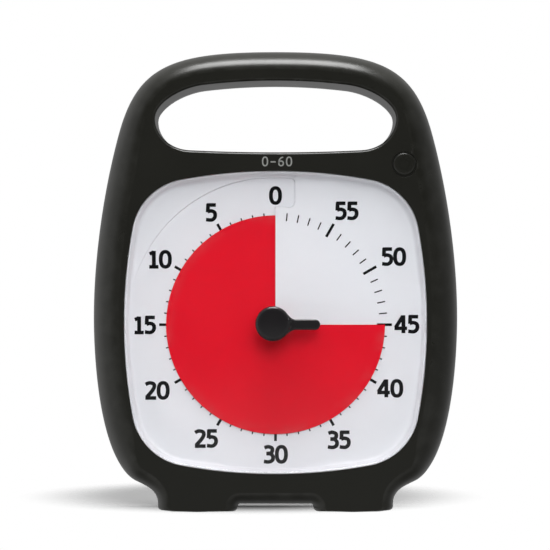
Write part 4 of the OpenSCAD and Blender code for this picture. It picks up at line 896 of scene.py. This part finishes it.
def rear_shell():
    shell, hollow = half_shell("housing_rear", BACK_Y, -1, BACK_ROLL, BACK_ROLL_DEPTH)
    carve(hollow, foot_boxes(PART_Y - FAR, INNER_BACK_Y - 0.6), "UNION")
    ribs = [grip_tube(PART_Y - 2 * FAR, BACK_Y)]
    ribs += webbed_posts(CASE_BOSSES, PART_Y - 2 * FAR, BACK_Y - 0.5, CASE_POST_R)
    for x in (-66, 66):
        ribs += [plate("web", rib_outline((x, z), 12), 14, BACK_Y - 0.4) for z in (50, 70, 90, 110)]
    ring = rod("ring", BUZZER_AT, 19, BACK_Y - 0.3, BUZZER_R + 1.6, 64)
    ribs += [carve(ring, [rod("bore", BUZZER_AT, 18, INNER_BACK_Y, BUZZER_R + 0.05, 64)])]
    ribs += [rod("boss", p, BOARD_Y, BACK_Y - 0.3, 2.2, 24) for p in BOARD_BOSSES]
    ribs += [even_box("tray", DOOR_HALF_W, (TRAY_FRONT_Y, BACK_Y - 0.1), (DOOR_LOW_Z, TRAY_HIGH_Z)),
             even_box("seat", DOOR_HALF_W + 2, (INNER_BACK_Y - 2, BACK_Y - 0.2),
                      (DOOR_LOW_Z - 3.5, DOOR_HIGH_Z + 4.5)),
             rod("dial_seat", VOLUME_AT, VOLUME_FLOOR_Y - 1.8, BACK_Y - 0.1, VOLUME_R + 2.4)]
    carve(hollow, ribs)
    cuts = [hollow, grip_bore()] + battery_bay() + sound_slots()
    cuts += [edge_cutter("pocket", round_hole(VOLUME_AT, VOLUME_R + 0.4), BACK_Y, 0.4, VOLUME_FLOOR_Y, 5),
             rod("shaft", VOLUME_AT, VOLUME_FLOOR_Y - FAR, BACK_Y, 3.06)]
    low, high = TRAY_HIGH_Z - FAR, TRAY_HIGH_Z + FAR
    cuts += [box("slot", (x - 1.5, 9, low), (x + 1.5, 12, high)) for x in (-28, 28)]
    cuts += [rod("pilot", p, BOARD_Y - FAR, 20, BOARD_PILOT_R, 24) for p in BOARD_BOSSES]
    for p in CASE_BOSSES:
        cuts += [edge_cutter("well", round_hole(p, CASE_WELL_R, 48), BACK_Y, 0.4, CASE_SEAT_Y, 5),
                 rod("shank", p, PART_Y - FAR, BACK_Y, 1.6, 24)]
    return dress(finish_edges(carve(shell, cuts)), "housing", "housing_plastic", "rear_shell")


# ---------------------------------------------------------------- lens, dial and disc


def lens():
    front_y, flange_y, gap = FACE_Y + 0.6, INNER_FACE_Y + LENS_T, 0.25
    rings = [lifted(window_outline(-gap - 1.25 * c), front_y + 0.7 * s) for c, s in rolled(90, 0, 8)]
    pane = loft("window_lens", rings + [lifted(window_outline(-gap), INNER_FACE_Y + 0.5)])
    carve(pane, [plate("flange", window_outline(1.4), INNER_FACE_Y, flange_y)], "UNION")
    carve(pane, [plate("inside", window_outline(-gap - LENS_T), front_y + LENS_T, flange_y + FAR),
                 rod("hole", (0, DIAL_Z), front_y - FAR, flange_y + FAR, LENS_HOLE_R, 96)])
    return dress(finish_edges(pane), "housing", "clear_lens", "lens")


def ramp_y(a):
    """Face of the ramp at an angle in degrees, anticlockwise from twelve."""
    return RAMP_LOW_Y - RAMP_RISE * a / 360


def recess_y(a):
    return RAMP_LOW_Y - RAMP_RISE * smooth(a / 90)


def polar(r, a):
    a = np.radians(a)
    return -r * np.sin(a), DIAL_Z + r * np.cos(a)


def radius_on(path, angles):
    """Distance from the dial's centre to a closed path, at each angle."""
    x, z = path[:, 0], path[:, 1] - DIAL_Z
    a = np.degrees(np.arctan2(-x, z)) % 360
    order = np.argsort(a)
    return np.interp(np.asarray(angles) % 360, a[order], np.hypot(x, z)[order], period=360)


def dial_face():
    """The dial round the ramp under the disc: a sunken part beside 0, flat corners and a raised rim."""
    slit = 0.02  # what is left open between the row's end and its start, in degrees
    steps = [np.linspace(0, 1, 241), np.linspace(0, 0.034, 69), np.linspace(0.98, 1, 9)]
    share = np.unique(np.concatenate(steps))
    floor, lip, rim = (window_outline(d) for d in (-RIM_INSET, -0.2, 2.2))
    near = np.maximum(0, RECESS_CORNER_R - share * math.radians(360) * RECESS_R)
    corner = RECESS_CORNER_R - np.sqrt(RECESS_CORNER_R ** 2 - near ** 2)
    rows = []

    def seam(r):
        return math.degrees(math.asin(RECESS_PAST / r))

    def ring(radius, y_at):
        """Adds a row round the dial, which starts and ends where the recess's right end crosses it."""
        along = np.broadcast_to(radius(360 * share - seam(RECESS_R)), share.shape)
        b = 360 * share - np.where(share == 1, slit, 0)
        a = b - seam(along[0]) * (1 - share) - seam(along[-1]) * share
        r = np.broadcast_to(radius(a), share.shape)
        x, z = polar(r, a)
        rows.append(np.stack([x, np.broadcast_to(y_at(a, b, r), share.shape), z], 1))

    def recess_edge(a):
        return np.minimum(RECESS_R - corner, radius_on(floor, a) - STEP_W - 0.15)

    def rim_foot(a):
        return np.maximum(radius_on(floor, a) - 0.8, recess_edge(a) + STEP_W + 0.05)

    def dished(a, b, r):
        inner = np.minimum(ramp_y(np.maximum(0, a)), RAMP_LOW_Y)
        t = (r - RAMP_OUTER_R) / (recess_edge(a) - RAMP_OUTER_R)
        return inner + (recess_y(b) - inner) * smooth(t)

    def tongue(a, b, r):
        """Right of twelve the face under the sunken part keeps its full height."""
        return np.where(a < 0, DIAL_Y, dished(a, b, r))

    ring(lambda a: RAMP_OUTER_R, tongue)
    ring(lambda a: RAMP_OUTER_R + 0.3 + corner, tongue)
    for t in np.linspace(0, 1, 13) ** 1.3:
        ring(lambda a: (RAMP_OUTER_R + 0.3 + STEP_W + corner) * (1 - t) + (recess_edge(a) - 0.3) * t, dished)
    for t in np.linspace(0, 1, 6):
        ring(lambda a: recess_edge(a) + STEP_W * t,
             lambda a, b, r: recess_y(b) + (DIAL_Y - recess_y(b)) * smooth(t))
    for t in np.linspace(0.12, 1, 8):
        ring(lambda a: (recess_edge(a) + STEP_W) * (1 - t) + rim_foot(a) * t, lambda a, b, r: DIAL_Y)
    for t in np.linspace(0, 1, 10)[1:]:
        ring(lambda a: rim_foot(a) * (1 - t) + radius_on(lip, a) * t,
             lambda a, b, r: DIAL_Y + (RIM_Y - DIAL_Y) * t ** 2.2)
    ring(lambda a: radius_on(rim, a), lambda a, b, r: RIM_Y)
    ring(lambda a: radius_on(rim, a), lambda a, b, r: BORDER_BACK_Y)
    ring(lambda a: RAMP_OUTER_R, lambda a, b, r: BORDER_BACK_Y)
    face = wound("dial_border", rows)
    carve(face, dial_ears(), "UNION")
    carve(face, [rod("hole", p, EAR_Y - EAR_T - FAR, EAR_Y + FAR, 1.45, 24) for p in DIAL_BOSSES])
    return dress(finish_edges(face, 28), "housing", "dial_white")


def hull_path(*discs):
    """Outline round discs, each given as its centre and its radius."""
    rim = [Vector(p) for c, r in discs for p in circle(c, r, 32)]
    order = geometry.convex_hull_2d(rim)
    return np.array([rim[i] for i in order])[::-1]


def dial_ears():
    """The lugs in the dial's corners that its screws go through."""
    ears = []
    for p in DIAL_BOSSES:
        out = np.sign(np.array(p) - [0, DIAL_Z])
        lug = hull_path((p, EAR_R), (p - 8 * out, 5))
        arm = hull_path((p - 2 * out, EAR_R), (p - out * [2, 12], 3))
        ears += [plate("ear", path, EAR_Y - EAR_T, EAR_Y) for path in (lug, arm)]
    return ears


def spiral_sheet(name, section, start):
    """A turn of sheet round the dial's axis; the section lists radius and distance behind the ramp's face."""
    a = np.linspace(start, start + 360, 361)
    rows = []
    for r, back in section:
        x, z = polar(r, a)
        rows.append(np.stack([x, ramp_y(a) + back, z], 1))
    return wound(name, rows)


def ramp():
    outer_r = RAMP_OUTER_R + 0.05
    section = [(RAMP_INNER_R, 0)] + [(r, 0) for r in np.linspace(12, outer_r, 8)]
    sheet = spiral_sheet("dial_ramp", section + [(outer_r, DIAL_T), (RAMP_INNER_R, DIAL_T)], 0)
    return dress(finish_edges(sheet), "housing", "dial_white", "dial_face")


def time_disc():
    front, back, edge = -DISC_GAP - DISC_T, -DISC_GAP, 0.08
    section = [(r, front) for r in np.linspace(DISC_INNER_R, DISC_R - edge, 10)]
    section += [(DISC_R, front + edge), (DISC_R, back - edge), (DISC_R - edge, back), (DISC_INNER_R, back)]
    disc = spiral_sheet("red_disc", section, -TURN_BACK)
    return dress(finish_edges(disc), "disc", "disc_red", "time_disc")


# ---------------------------------------------------------------- numbers and marks

PRINT_FROM_Y = -20.0
STROKE_STEPS = 10


def stroke(points, width):
    """A flat band of even width along a smooth line through points; a repeated point makes a corner."""
    p = np.array(points, float)
    line = []
    for i in range(len(p) - 1):
        if np.allclose(p[i], p[i + 1]):
            line.append(p[i])
            continue
        before = p[i - 1] if i > 0 else p[i]
        after = p[i + 2] if i + 2 < len(p) else p[i + 1]
        m0, m1 = 0.5 * (p[i + 1] - before), 0.5 * (after - p[i])
        t = np.linspace(0, 1, STROKE_STEPS, endpoint=False)[:, None]
        line.extend((2 * t ** 3 - 3 * t ** 2 + 1) * p[i] + (t ** 3 - 2 * t ** 2 + t) * m0
                    + (-2 * t ** 3 + 3 * t ** 2) * p[i + 1] + (t ** 3 - t ** 2) * m1)
    line.append(p[-1])
    line = np.array(line)
    keep = np.concatenate([[True], np.linalg.norm(np.diff(line, axis=0), axis=1) > 1e-6])
    line = line[keep]
    if np.allclose(points[0], points[-1]):
        d = np.roll(line[:-1], -1, 0) - np.roll(line[:-1], 1, 0)
        d = np.concatenate([d, d[:1]])
    else:
        d = np.gradient(line, axis=0)
    normal = np.stack([-d[:, 1], d[:, 0]], 1) / np.linalg.norm(d, axis=1)[:, None]
    return line, normal * width / 2


def bowl(centre, rx, rz, power):
    """A squarish ring, as in a 0 or a 6."""
    a = np.linspace(0, 2 * math.pi, 25)
    d = np.stack([np.cos(a), np.sin(a)], 1)
    return centre + np.array([rx, rz]) * np.sign(d) * np.abs(d) ** (2 / power)


# Middle lines of the digits, one unit high over all: each has its width and its strokes.
DIGITS = {
    "0": (0.64, [bowl((0.32, 0.5), 0.24, 0.42, 2.35)]),
    "1": (0.50, [[(0.26, 0.0), (0.26, 0.97)], [(0.02, 0.08), (0.50, 0.08)],
                 [(0.03, 0.80), (0.16, 0.85), (0.26, 0.92)]]),
    "2": (0.60, [[(0.04, 0.83), (0.24, 0.92), (0.46, 0.86), (0.49, 0.68), (0.36, 0.44), (0.10, 0.13)],
                 [(0.03, 0.08), (0.60, 0.08)]]),
    "3": (0.58, [[(0.05, 0.86), (0.25, 0.92), (0.45, 0.83), (0.44, 0.63), (0.30, 0.54), (0.15, 0.54)],
                 [(0.15, 0.54), (0.33, 0.54), (0.49, 0.40), (0.47, 0.18), (0.28, 0.08), (0.02, 0.11)]]),
    "4": (0.66, [[(0.47, 0.0), (0.47, 1.0)], [(0.44, 0.95), (0.06, 0.31)], [(0.0, 0.27), (0.66, 0.27)]]),
    "5": (0.58, [[(0.06, 0.92), (0.54, 0.92)], [(0.13, 0.99), (0.11, 0.52)],
                 [(0.10, 0.54), (0.28, 0.59), (0.47, 0.50), (0.49, 0.26), (0.33, 0.09), (0.02, 0.11)]]),
    "6": (0.62, [[(0.52, 0.92), (0.30, 0.84), (0.13, 0.60), (0.10, 0.36)],
                 bowl((0.32, 0.31), 0.22, 0.23, 2.1)]),
    "-": (0.62, [[(0.06, 0.46), (0.56, 0.46)]]),
}


def figures(text, centre, height, weight, gap, stretch):
    """Points and faces of a number, flat in front of what it is printed on."""
    width = sum(DIGITS[c][0] for c in text) + gap * (len(text) - 1)
    x = -width / 2
    points, faces = [], []
    for c in text:
        for middle in DIGITS[c][1]:
            line, half = stroke(middle, weight)
            start = len(points)
            for side in (-1, 0, 1):
                for p in line + side * half - [0, 0.5]:
                    right, up = height * stretch * (x + p[0]), height * p[1]
                    points.append((centre[0] + right, PRINT_FROM_Y, centre[1] + up))
            n = len(line)
            for s in range(2):
                for k in range(n - 1):
                    a = start + s * n + k
                    faces.append((a, a + 1, a + n + 1, a + n))
        x += DIGITS[c][0] + gap
    return points, faces


def printed(name, texts, face, finish, body, height, weight, gap, stretch=1.0):
    """Numbers printed on a face; weight and gap are shares of their height."""
    points, faces = [], []
    for text, centre in texts:
        p, f = figures(text, centre, height, weight, gap, stretch)
        faces += [tuple(i + len(points) for i in q) for q in f]
        points += p
    obj = grown_by(new_mesh(name, points, faces), PRINT, face=face, material=FINISHES[finish])
    return marked(obj, finish, body)


def marked(obj, finish, body):
    """Ink faces the front and rides with what it is printed on."""
    bm = bmesh.new()
    bm.from_mesh(obj.data)
    for face in bm.faces:
        if face.normal.y > 0:
            face.normal_flip()
    bm.to_mesh(obj.data)
    bm.free()
    obj.data.materials.clear()
    obj.data.materials.append(FINISHES[finish])
    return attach(obj, body)


NUMBER_PLACES = {
    "0": (0.0, 122.0), "5": (-24.9, 115.4), "10": (-44.6, 97.3), "15": (-50.5, 71.9), "20": (-45.8, 46.6),
    "25": (-26.9, 28.0), "30": (0.0, 21.9), "35": (24.5, 27.5), "40": (44.3, 47.4), "45": (50.7, 72.2),
    "50": (45.7, 98.3), "55": (27.5, 116.0)}


def dial_marks(border, sheet):
    """The ticks and the numbers, which lie partly on the dial's border and partly on its ramp."""
    whole = new_mesh("printing_face", [], [])
    bm = bmesh.new()
    bm.from_mesh(border.data)
    bm.from_mesh(sheet.data)
    bm.to_mesh(whole.data)
    bm.free()
    ticks = new_mesh("minute_ticks", [], [])
    marked(grown_by(ticks, TICKS, face=whole, material=FINISHES["dial_ink"]), "dial_ink", "housing")
    printed("dial_numbers", NUMBER_PLACES.items(), whole, "dial_ink", "housing", 6.95, 0.205, 0.04, 1.06)
    bpy.data.objects.remove(whole)


# ---------------------------------------------------------------- controls


def blend_min(a, b, k):
    """The smaller of two values, with a rounded change from one to the other."""
    h = np.clip(0.5 + 0.5 * (b - a) / k, 0, 1)
    return b * (1 - h) + a * h - k * h * (1 - h)


def edge_drop(d, r):
    """How far a face falls away at a distance d inside an edge rounded to r."""
    t = np.clip(1 - d / r, 0, 1)
    return r * (1 - np.sqrt(1 - t * t))


def knob():
    """Round head with an arm, one moulding: its face is made of rings about the head's centre."""
    centre, arm_z = (KNOB_X, KNOB_Z), DIAL_Z - KNOB_Z
    arm_from, arm_to = 2.0 - KNOB_X, KNOB_ARM - KNOB_ARM_HALF - KNOB_X
    joint, head_edge, arm_edge = 2.6, 1.6, 0.7

    def to_head(x, z):
        return np.hypot(x, z) - KNOB_R

    def to_arm(x, z):
        return np.hypot(x - np.clip(x, arm_from, arm_to), z - arm_z) - KNOB_ARM_HALF

    near = 22 * np.linspace(0, 1, 90) ** 1.3
    a = np.radians(np.concatenate([near, np.linspace(22, 338, 159)[1:-1], 360 - near[::-1][:-1]]))
    ca, sa = np.cos(a), np.sin(a)
    low, high = np.full(len(a), 5.0), np.full(len(a), KNOB_ARM - KNOB_X + 1)
    for _ in range(40):
        middle = (low + high) / 2
        inside = blend_min(to_head(middle * ca, middle * sa), to_arm(middle * ca, middle * sa), joint) < 0
        low, high = np.where(inside, middle, low), np.where(inside, high, middle)
    rim = low
    share = np.concatenate([np.linspace(0.02, 0.8, 40), np.linspace(0.8, 0.96, 22)[1:],
                            np.linspace(0.96, 1, 14)[1:]])
    rings = []
    for u in share:
        x, z = rim * u * ca, rim * u * sa
        head, arm = to_head(x, z), to_arm(x, z)
        both = -blend_min(head, arm, joint)
        dome = 0.15 * (1 - np.clip(np.hypot(x, z) / (KNOB_R - head_edge), 0, 1) ** 2)
        top = KNOB_FRONT_Y - dome + edge_drop(-head, head_edge) + 6 * smooth((head + 0.02) / 0.3)
        over = KNOB_FRONT_Y + 1.2 + edge_drop(both, arm_edge)
        rings.append(np.stack([centre[0] + x, blend_min(top, over, 0.35), centre[1] + z], 1))
    x, z = rim * ca, rim * sa
    back = KNOB_BACK_Y - 0.4 * smooth(to_head(x, z) / 2)
    for inset, y in ((0.0, back - 0.3), (0.3, back)):
        rings.append(np.stack([centre[0] + x * (1 - inset / rim), y, centre[1] + z * (1 - inset / rim)], 1))
    body = loft("setting_knob", rings)
    carve(body, [rod("stem", (0, DIAL_Z), KNOB_BACK_Y - 1, KNOB_STEM_Y, 4, 64)], "UNION")
    carve(body, [rod("bore", (0, DIAL_Z), ARBOR_FRONT_Y - 0.3, KNOB_STEM_Y + FAR, ARBOR_R, 48)])
    return dress(finish_edges(body, 40), "arbor", "knob_black", "knob")


def power_button():
    """A cap with a rounded brow, a collar that stops it behind the face, and a stem to the switch."""
    front, neck_y, collar, collar_r, stem_r, stem_y = FACE_Y - 0.2, -11.5, (-10.9, -10.1), 4.9, 1.5, -7.23
    brow = [(0.9, 0), (0.75, 0), (0.55, 0.03), (0.35, 0.12), (0.15, 0.2), (0.04, 0.3), (0, 0.45)]
    profile = [(0, front)] + [(BUTTON_R - inset, front + drop) for inset, drop in brow]
    profile += [(BUTTON_R, neck_y), (3, neck_y), (3, collar[0]), (collar_r, collar[0]), (collar_r, collar[1])]
    profile += [(stem_r, collar[1]), (stem_r, stem_y), (0, stem_y)]
    cap = turning("push_button", BUTTON_AT, profile)
    x, z = BUTTON_AT
    ring = rod("ring", BUTTON_AT, front - FAR, front + 0.2, 2.2, 64)
    carve(ring, [rod("middle", BUTTON_AT, front - 2 * FAR, front + FAR, 1.7, 64),
                 box("gap", (x - 0.8, front - 2 * FAR, z + 0.8), (x + 0.8, front + FAR, z + 3))])
    bar = plate("bar", rounded_rect((x, z + 1.6), 0.5, 2.0, 0.24, 4), front - FAR, front + 0.2)
    return dress(finish_edges(carve(cap, [ring, bar]), worn=0.0), "button", "housing_plastic", "power_button")


def volume_dial():
    """A fluted wheel with a shallow hollow on top and a mark at its edge."""
    top, low, edge_r = BACK_Y + 1, VOLUME_FLOOR_Y + 0.5, 0.6
    profile = [(0, low), (VOLUME_R - 0.3, low), (VOLUME_R, low + 0.3), (VOLUME_R, top - edge_r)]
    profile += [(VOLUME_R - edge_r * c, top - edge_r * s) for c, s in rolled(15, 90, 6)]
    profile += [(VOLUME_R - 2.5, top), (VOLUME_R - 3, top - 0.12), (0, top - 0.12)]
    wheel = turning("volume_wheel", VOLUME_AT, profile)
    flute = rod("flute", (0, 0), BACK_Y - 2, BACK_Y + FAR, 0.8, 20)
    flutes = grown_by(new_mesh("flutes", [], []), RING, shape=flute, radius=(VOLUME_R + 0.35) * MM,
                      centre=(VOLUME_AT[0] * MM, 0, VOLUME_AT[1] * MM))
    bpy.data.objects.remove(flute)
    mark = rounded_rect((VOLUME_AT[0], VOLUME_AT[1] + 5.5), 1.0, 5.0, 0.45)
    shaft = rod("shaft", VOLUME_AT, VOLUME_FLOOR_Y, 22.6, 3, 48)
    carve(wheel, [flutes, plate("mark", mark, BACK_Y + 0.5, top + FAR), shaft])
    return dress(finish_edges(wheel), "volume", "black_plastic", "volume_dial")


def battery_door():
    """A lid with a hinge pin along its lower edge, a tab at its upper one and grooves for the thumb."""
    r, inner = 0.3, BACK_Y - DOOR_T + 0.1
    middle = (0, (DOOR_LOW_Z + DOOR_HIGH_Z) / 2)

    def outline(d):
        return rounded_rect(middle, 2 * (DOOR_HALF_W - d), DOOR_HIGH_Z - DOOR_LOW_Z - 2 * d, 0.7 - d, 5)

    edge = [lifted(outline(r * c), BACK_Y - r * s) for c, s in rolled(0, 90, 6)]
    lid = loft("battery_lid", [lifted(outline(0), inner)] + edge)
    tab = rounded_rect((0, DOOR_HIGH_Z + (DOOR_TAB_H - 1) / 2), 2 * DOOR_TAB_HALF, DOOR_TAB_H + 1, 0.4)
    pin = hinge_rod("pin", DOOR_HALF_W, DOOR_PIN_R)
    carve(lid, [plate("tab", tab, inner + 0.01, BACK_Y - 0.4), pin], "UNION")
    cuts = []
    for k in range(5):
        groove = rounded_rect((0, DOOR_HIGH_Z - 3 - 1.6 * k), 18 - 2.4 * k, 0.8, 0.39)
        cuts.append(plate("groove", groove, BACK_Y - 0.5, BACK_Y + FAR))
    cuts.append(even_box("edge", DOOR_HALF_W + 1, (DOOR_PIN_Y, BACK_Y + 1), (DOOR_LOW_Z - 2, DOOR_LOW_Z)))
    return dress(finish_edges(carve(lid, cuts), worn=0.0), "door", "housing_plastic", "battery_door")


def case_screws():
    """Long cross-head screws, one made and copied to each post."""
    r, head_r, head_h, dome_h, tip_y = 1.3, 2.8, 1.8, 0.9, -7.5
    top = CASE_SEAT_Y + head_h
    profile = [(0, tip_y), (r - 0.6, tip_y), (r, tip_y + 1.2), (r, CASE_SEAT_Y), (head_r, CASE_SEAT_Y)]
    profile += [(head_r, top - dome_h)] + [(head_r * (1 - c), top - dome_h * s) for c, s in rolled(15, 75, 5)]
    screw = turning("screw", (0, 0), profile + [(0, top)], 40)
    depth = (CASE_SEAT_Y + head_h / 2, top + FAR)
    carve(screw, [even_box("slot", w, depth, (-h, h)) for w, h in ((1.5, 0.5), (0.5, 1.51))])
    screws = copied_to("long_screws", screw, [(p[0], 0, p[1]) for p in CASE_BOSSES])
    return dress(finish_edges(screws), "housing", "steel", "case_screws")


printed("range_legend", [("0-60", (0.6, 134.7))], front_shell(), "legend_ink", "housing", 3.9, 0.13, 0.16)
rear_shell()
lens()
dial_marks(dial_face(), ramp())
time_disc()
knob()
power_button()
volume_dial()
battery_door()
case_screws()

for sub in frame["record"]["subparts"]:
    node = frame["nodes"][sub["node"]]
    node.data.materials.clear()
    node.data.materials.append(FINISHES[sub["material_slot"]])

# ---------------------------------------------------------------- camera, light and floor
# Blender's own measures, such as where a lamp stands, are in metres here.

camera_data = bpy.data.cameras.new("camera")
camera = bpy.data.objects.new("camera", camera_data)
bpy.context.scene.collection.objects.link(camera)
camera.location = (0, -1.1, 0.072)
camera.rotation_euler = (math.pi / 2, 0, 0)
camera_data.lens, camera_data.sensor_width = 184.6, 36
camera_data.shift_x, camera_data.shift_y = -0.0009, 0.0904
bpy.context.scene.camera = camera
bpy.context.scene.view_settings.view_transform = "Standard"

WALL_LEFT, WALL_RIGHT, WALL_BEHIND, WALL_FRONT, CEILING = 0.85, 0.36, 0.42, 0.02, 0.6
FLOOR_GLOW, FLOOR_FRONT = 0.22, 0.6
FLOOR_HALF = 2500
# The oval of painted shade on the floor: where it sits, how it is squashed and where it fades out, in metres.
PAINTED_SHADE_SHIFT, PAINTED_SHADE_SQUASH = (0.010, -0.09, 0), (1, 0.8, 1)
PAINTED_SHADE_FADE_START, PAINTED_SHADE_FADE_END = 0.052, 0.1


def grey(v):
    return v, v, v, 1


def lamp(name, at, aim, size, power):
    data = bpy.data.lights.new(name, "AREA")
    data.shape, data.size, data.size_y, data.energy = "RECTANGLE", size[0], size[1], power
    obj = bpy.data.objects.new(name, data)
    bpy.context.scene.collection.objects.link(obj)
    obj.location = at
    obj.rotation_euler = (Vector(aim) - Vector(at)).to_track_quat("-Z", "Y").to_euler()
    return obj


key = lamp("key", (0.10, -1.16, 0.50), (0, 0, 0.08), (0.5, 0.5), 4.3)
key.visible_glossy = False
overhead = lamp("overhead", (0.03, 0.05, 0.56), (0.01, 0.04, 0.08), (0.22, 0.14), 2.6)
overhead.visible_glossy = False
strip = lamp("strip", (0, -0.085, 0.56), (0, -0.03, 0.15), (0.26, 0.26), 3.5)
strip.visible_diffuse = False


def studio():
    """Pale walls, brighter on the left, and darkness behind the camera; white to the eye."""
    world = bpy.data.worlds.new("studio")
    bpy.context.scene.world = world
    world.use_nodes = True
    tree = world.node_tree
    tree.nodes.clear()
    place = add(tree, "ShaderNodeTexCoord").outputs["Generated"]
    way = add(tree, "ShaderNodeSeparateXYZ", [(0, place)]).outputs

    def change(axis, start, end, a, b):
        """Goes over from a to b along an axis; either is a brightness or what an earlier change gave."""
        share = between(tree, way[axis], start, end, interpolation_type="SMOOTHSTEP")
        return blended(tree, share, *(grey(v) if isinstance(v, float) else v for v in (a, b)))

    walls = change("X", -0.9, 0.9, WALL_LEFT, WALL_RIGHT)
    under = change("Z", -0.9, -0.3, FLOOR_GLOW, walls)
    around = change("Z", 0.4, 0.95, under, CEILING)
    behind = change("Y", 0.3, 0.95, around, WALL_BEHIND)
    front = change("Z", -0.1, 0.0, FLOOR_FRONT, WALL_FRONT)
    room = change("Y", -0.98, -0.3, front, behind)
    seen = add(tree, "ShaderNodeLightPath").outputs["Is Camera Ray"]
    colour = blended(tree, seen, room, grey(1.0))
    back = add(tree, "ShaderNodeBackground", [("Color", colour), ("Strength", 1.0)])
    add(tree, "ShaderNodeOutputWorld", [("Surface", back.outputs[0])])


studio()


def floor():
    """A grey table that fades out in an oval behind the object, so that its grey is painted shade round the
    lamps' real shadow; the lamps light it up towards white where nothing shades it.
    """
    corners = [(s * FLOOR_HALF, t * FLOOR_HALF, 0) for s, t in ((-1, -1), (1, -1), (1, 1), (-1, 1))]
    obj = new_mesh("floor", corners, [(0, 1, 2, 3)])
    material, tree, shader = new_material("pale_table")
    shader["Roughness"].default_value = 0.9
    shader["Specular IOR Level"].default_value = 0.0
    place = on_object(tree)
    # Painted shade: the table's grey, left only inside the oval round the object's shadow.
    tree.links.new(blended(tree, noise(tree, place, 30.0), grey(0.365), grey(0.385)), shader["Base Color"])
    painted_shade_oval = vector_maths(tree, "MULTIPLY", vector_maths(tree, "ADD", place, PAINTED_SHADE_SHIFT), PAINTED_SHADE_SQUASH)
    far_off = add(tree, "ShaderNodeVectorMath", [(0, painted_shade_oval)], operation="LENGTH").outputs["Value"]
    fade = between(tree, far_off, PAINTED_SHADE_FADE_START, PAINTED_SHADE_FADE_END, interpolation_type="SMOOTHSTEP")
    mixed_with(tree, fade, add(tree, "ShaderNodeBsdfTransparent"))
    obj.data.materials.append(material)


floor()
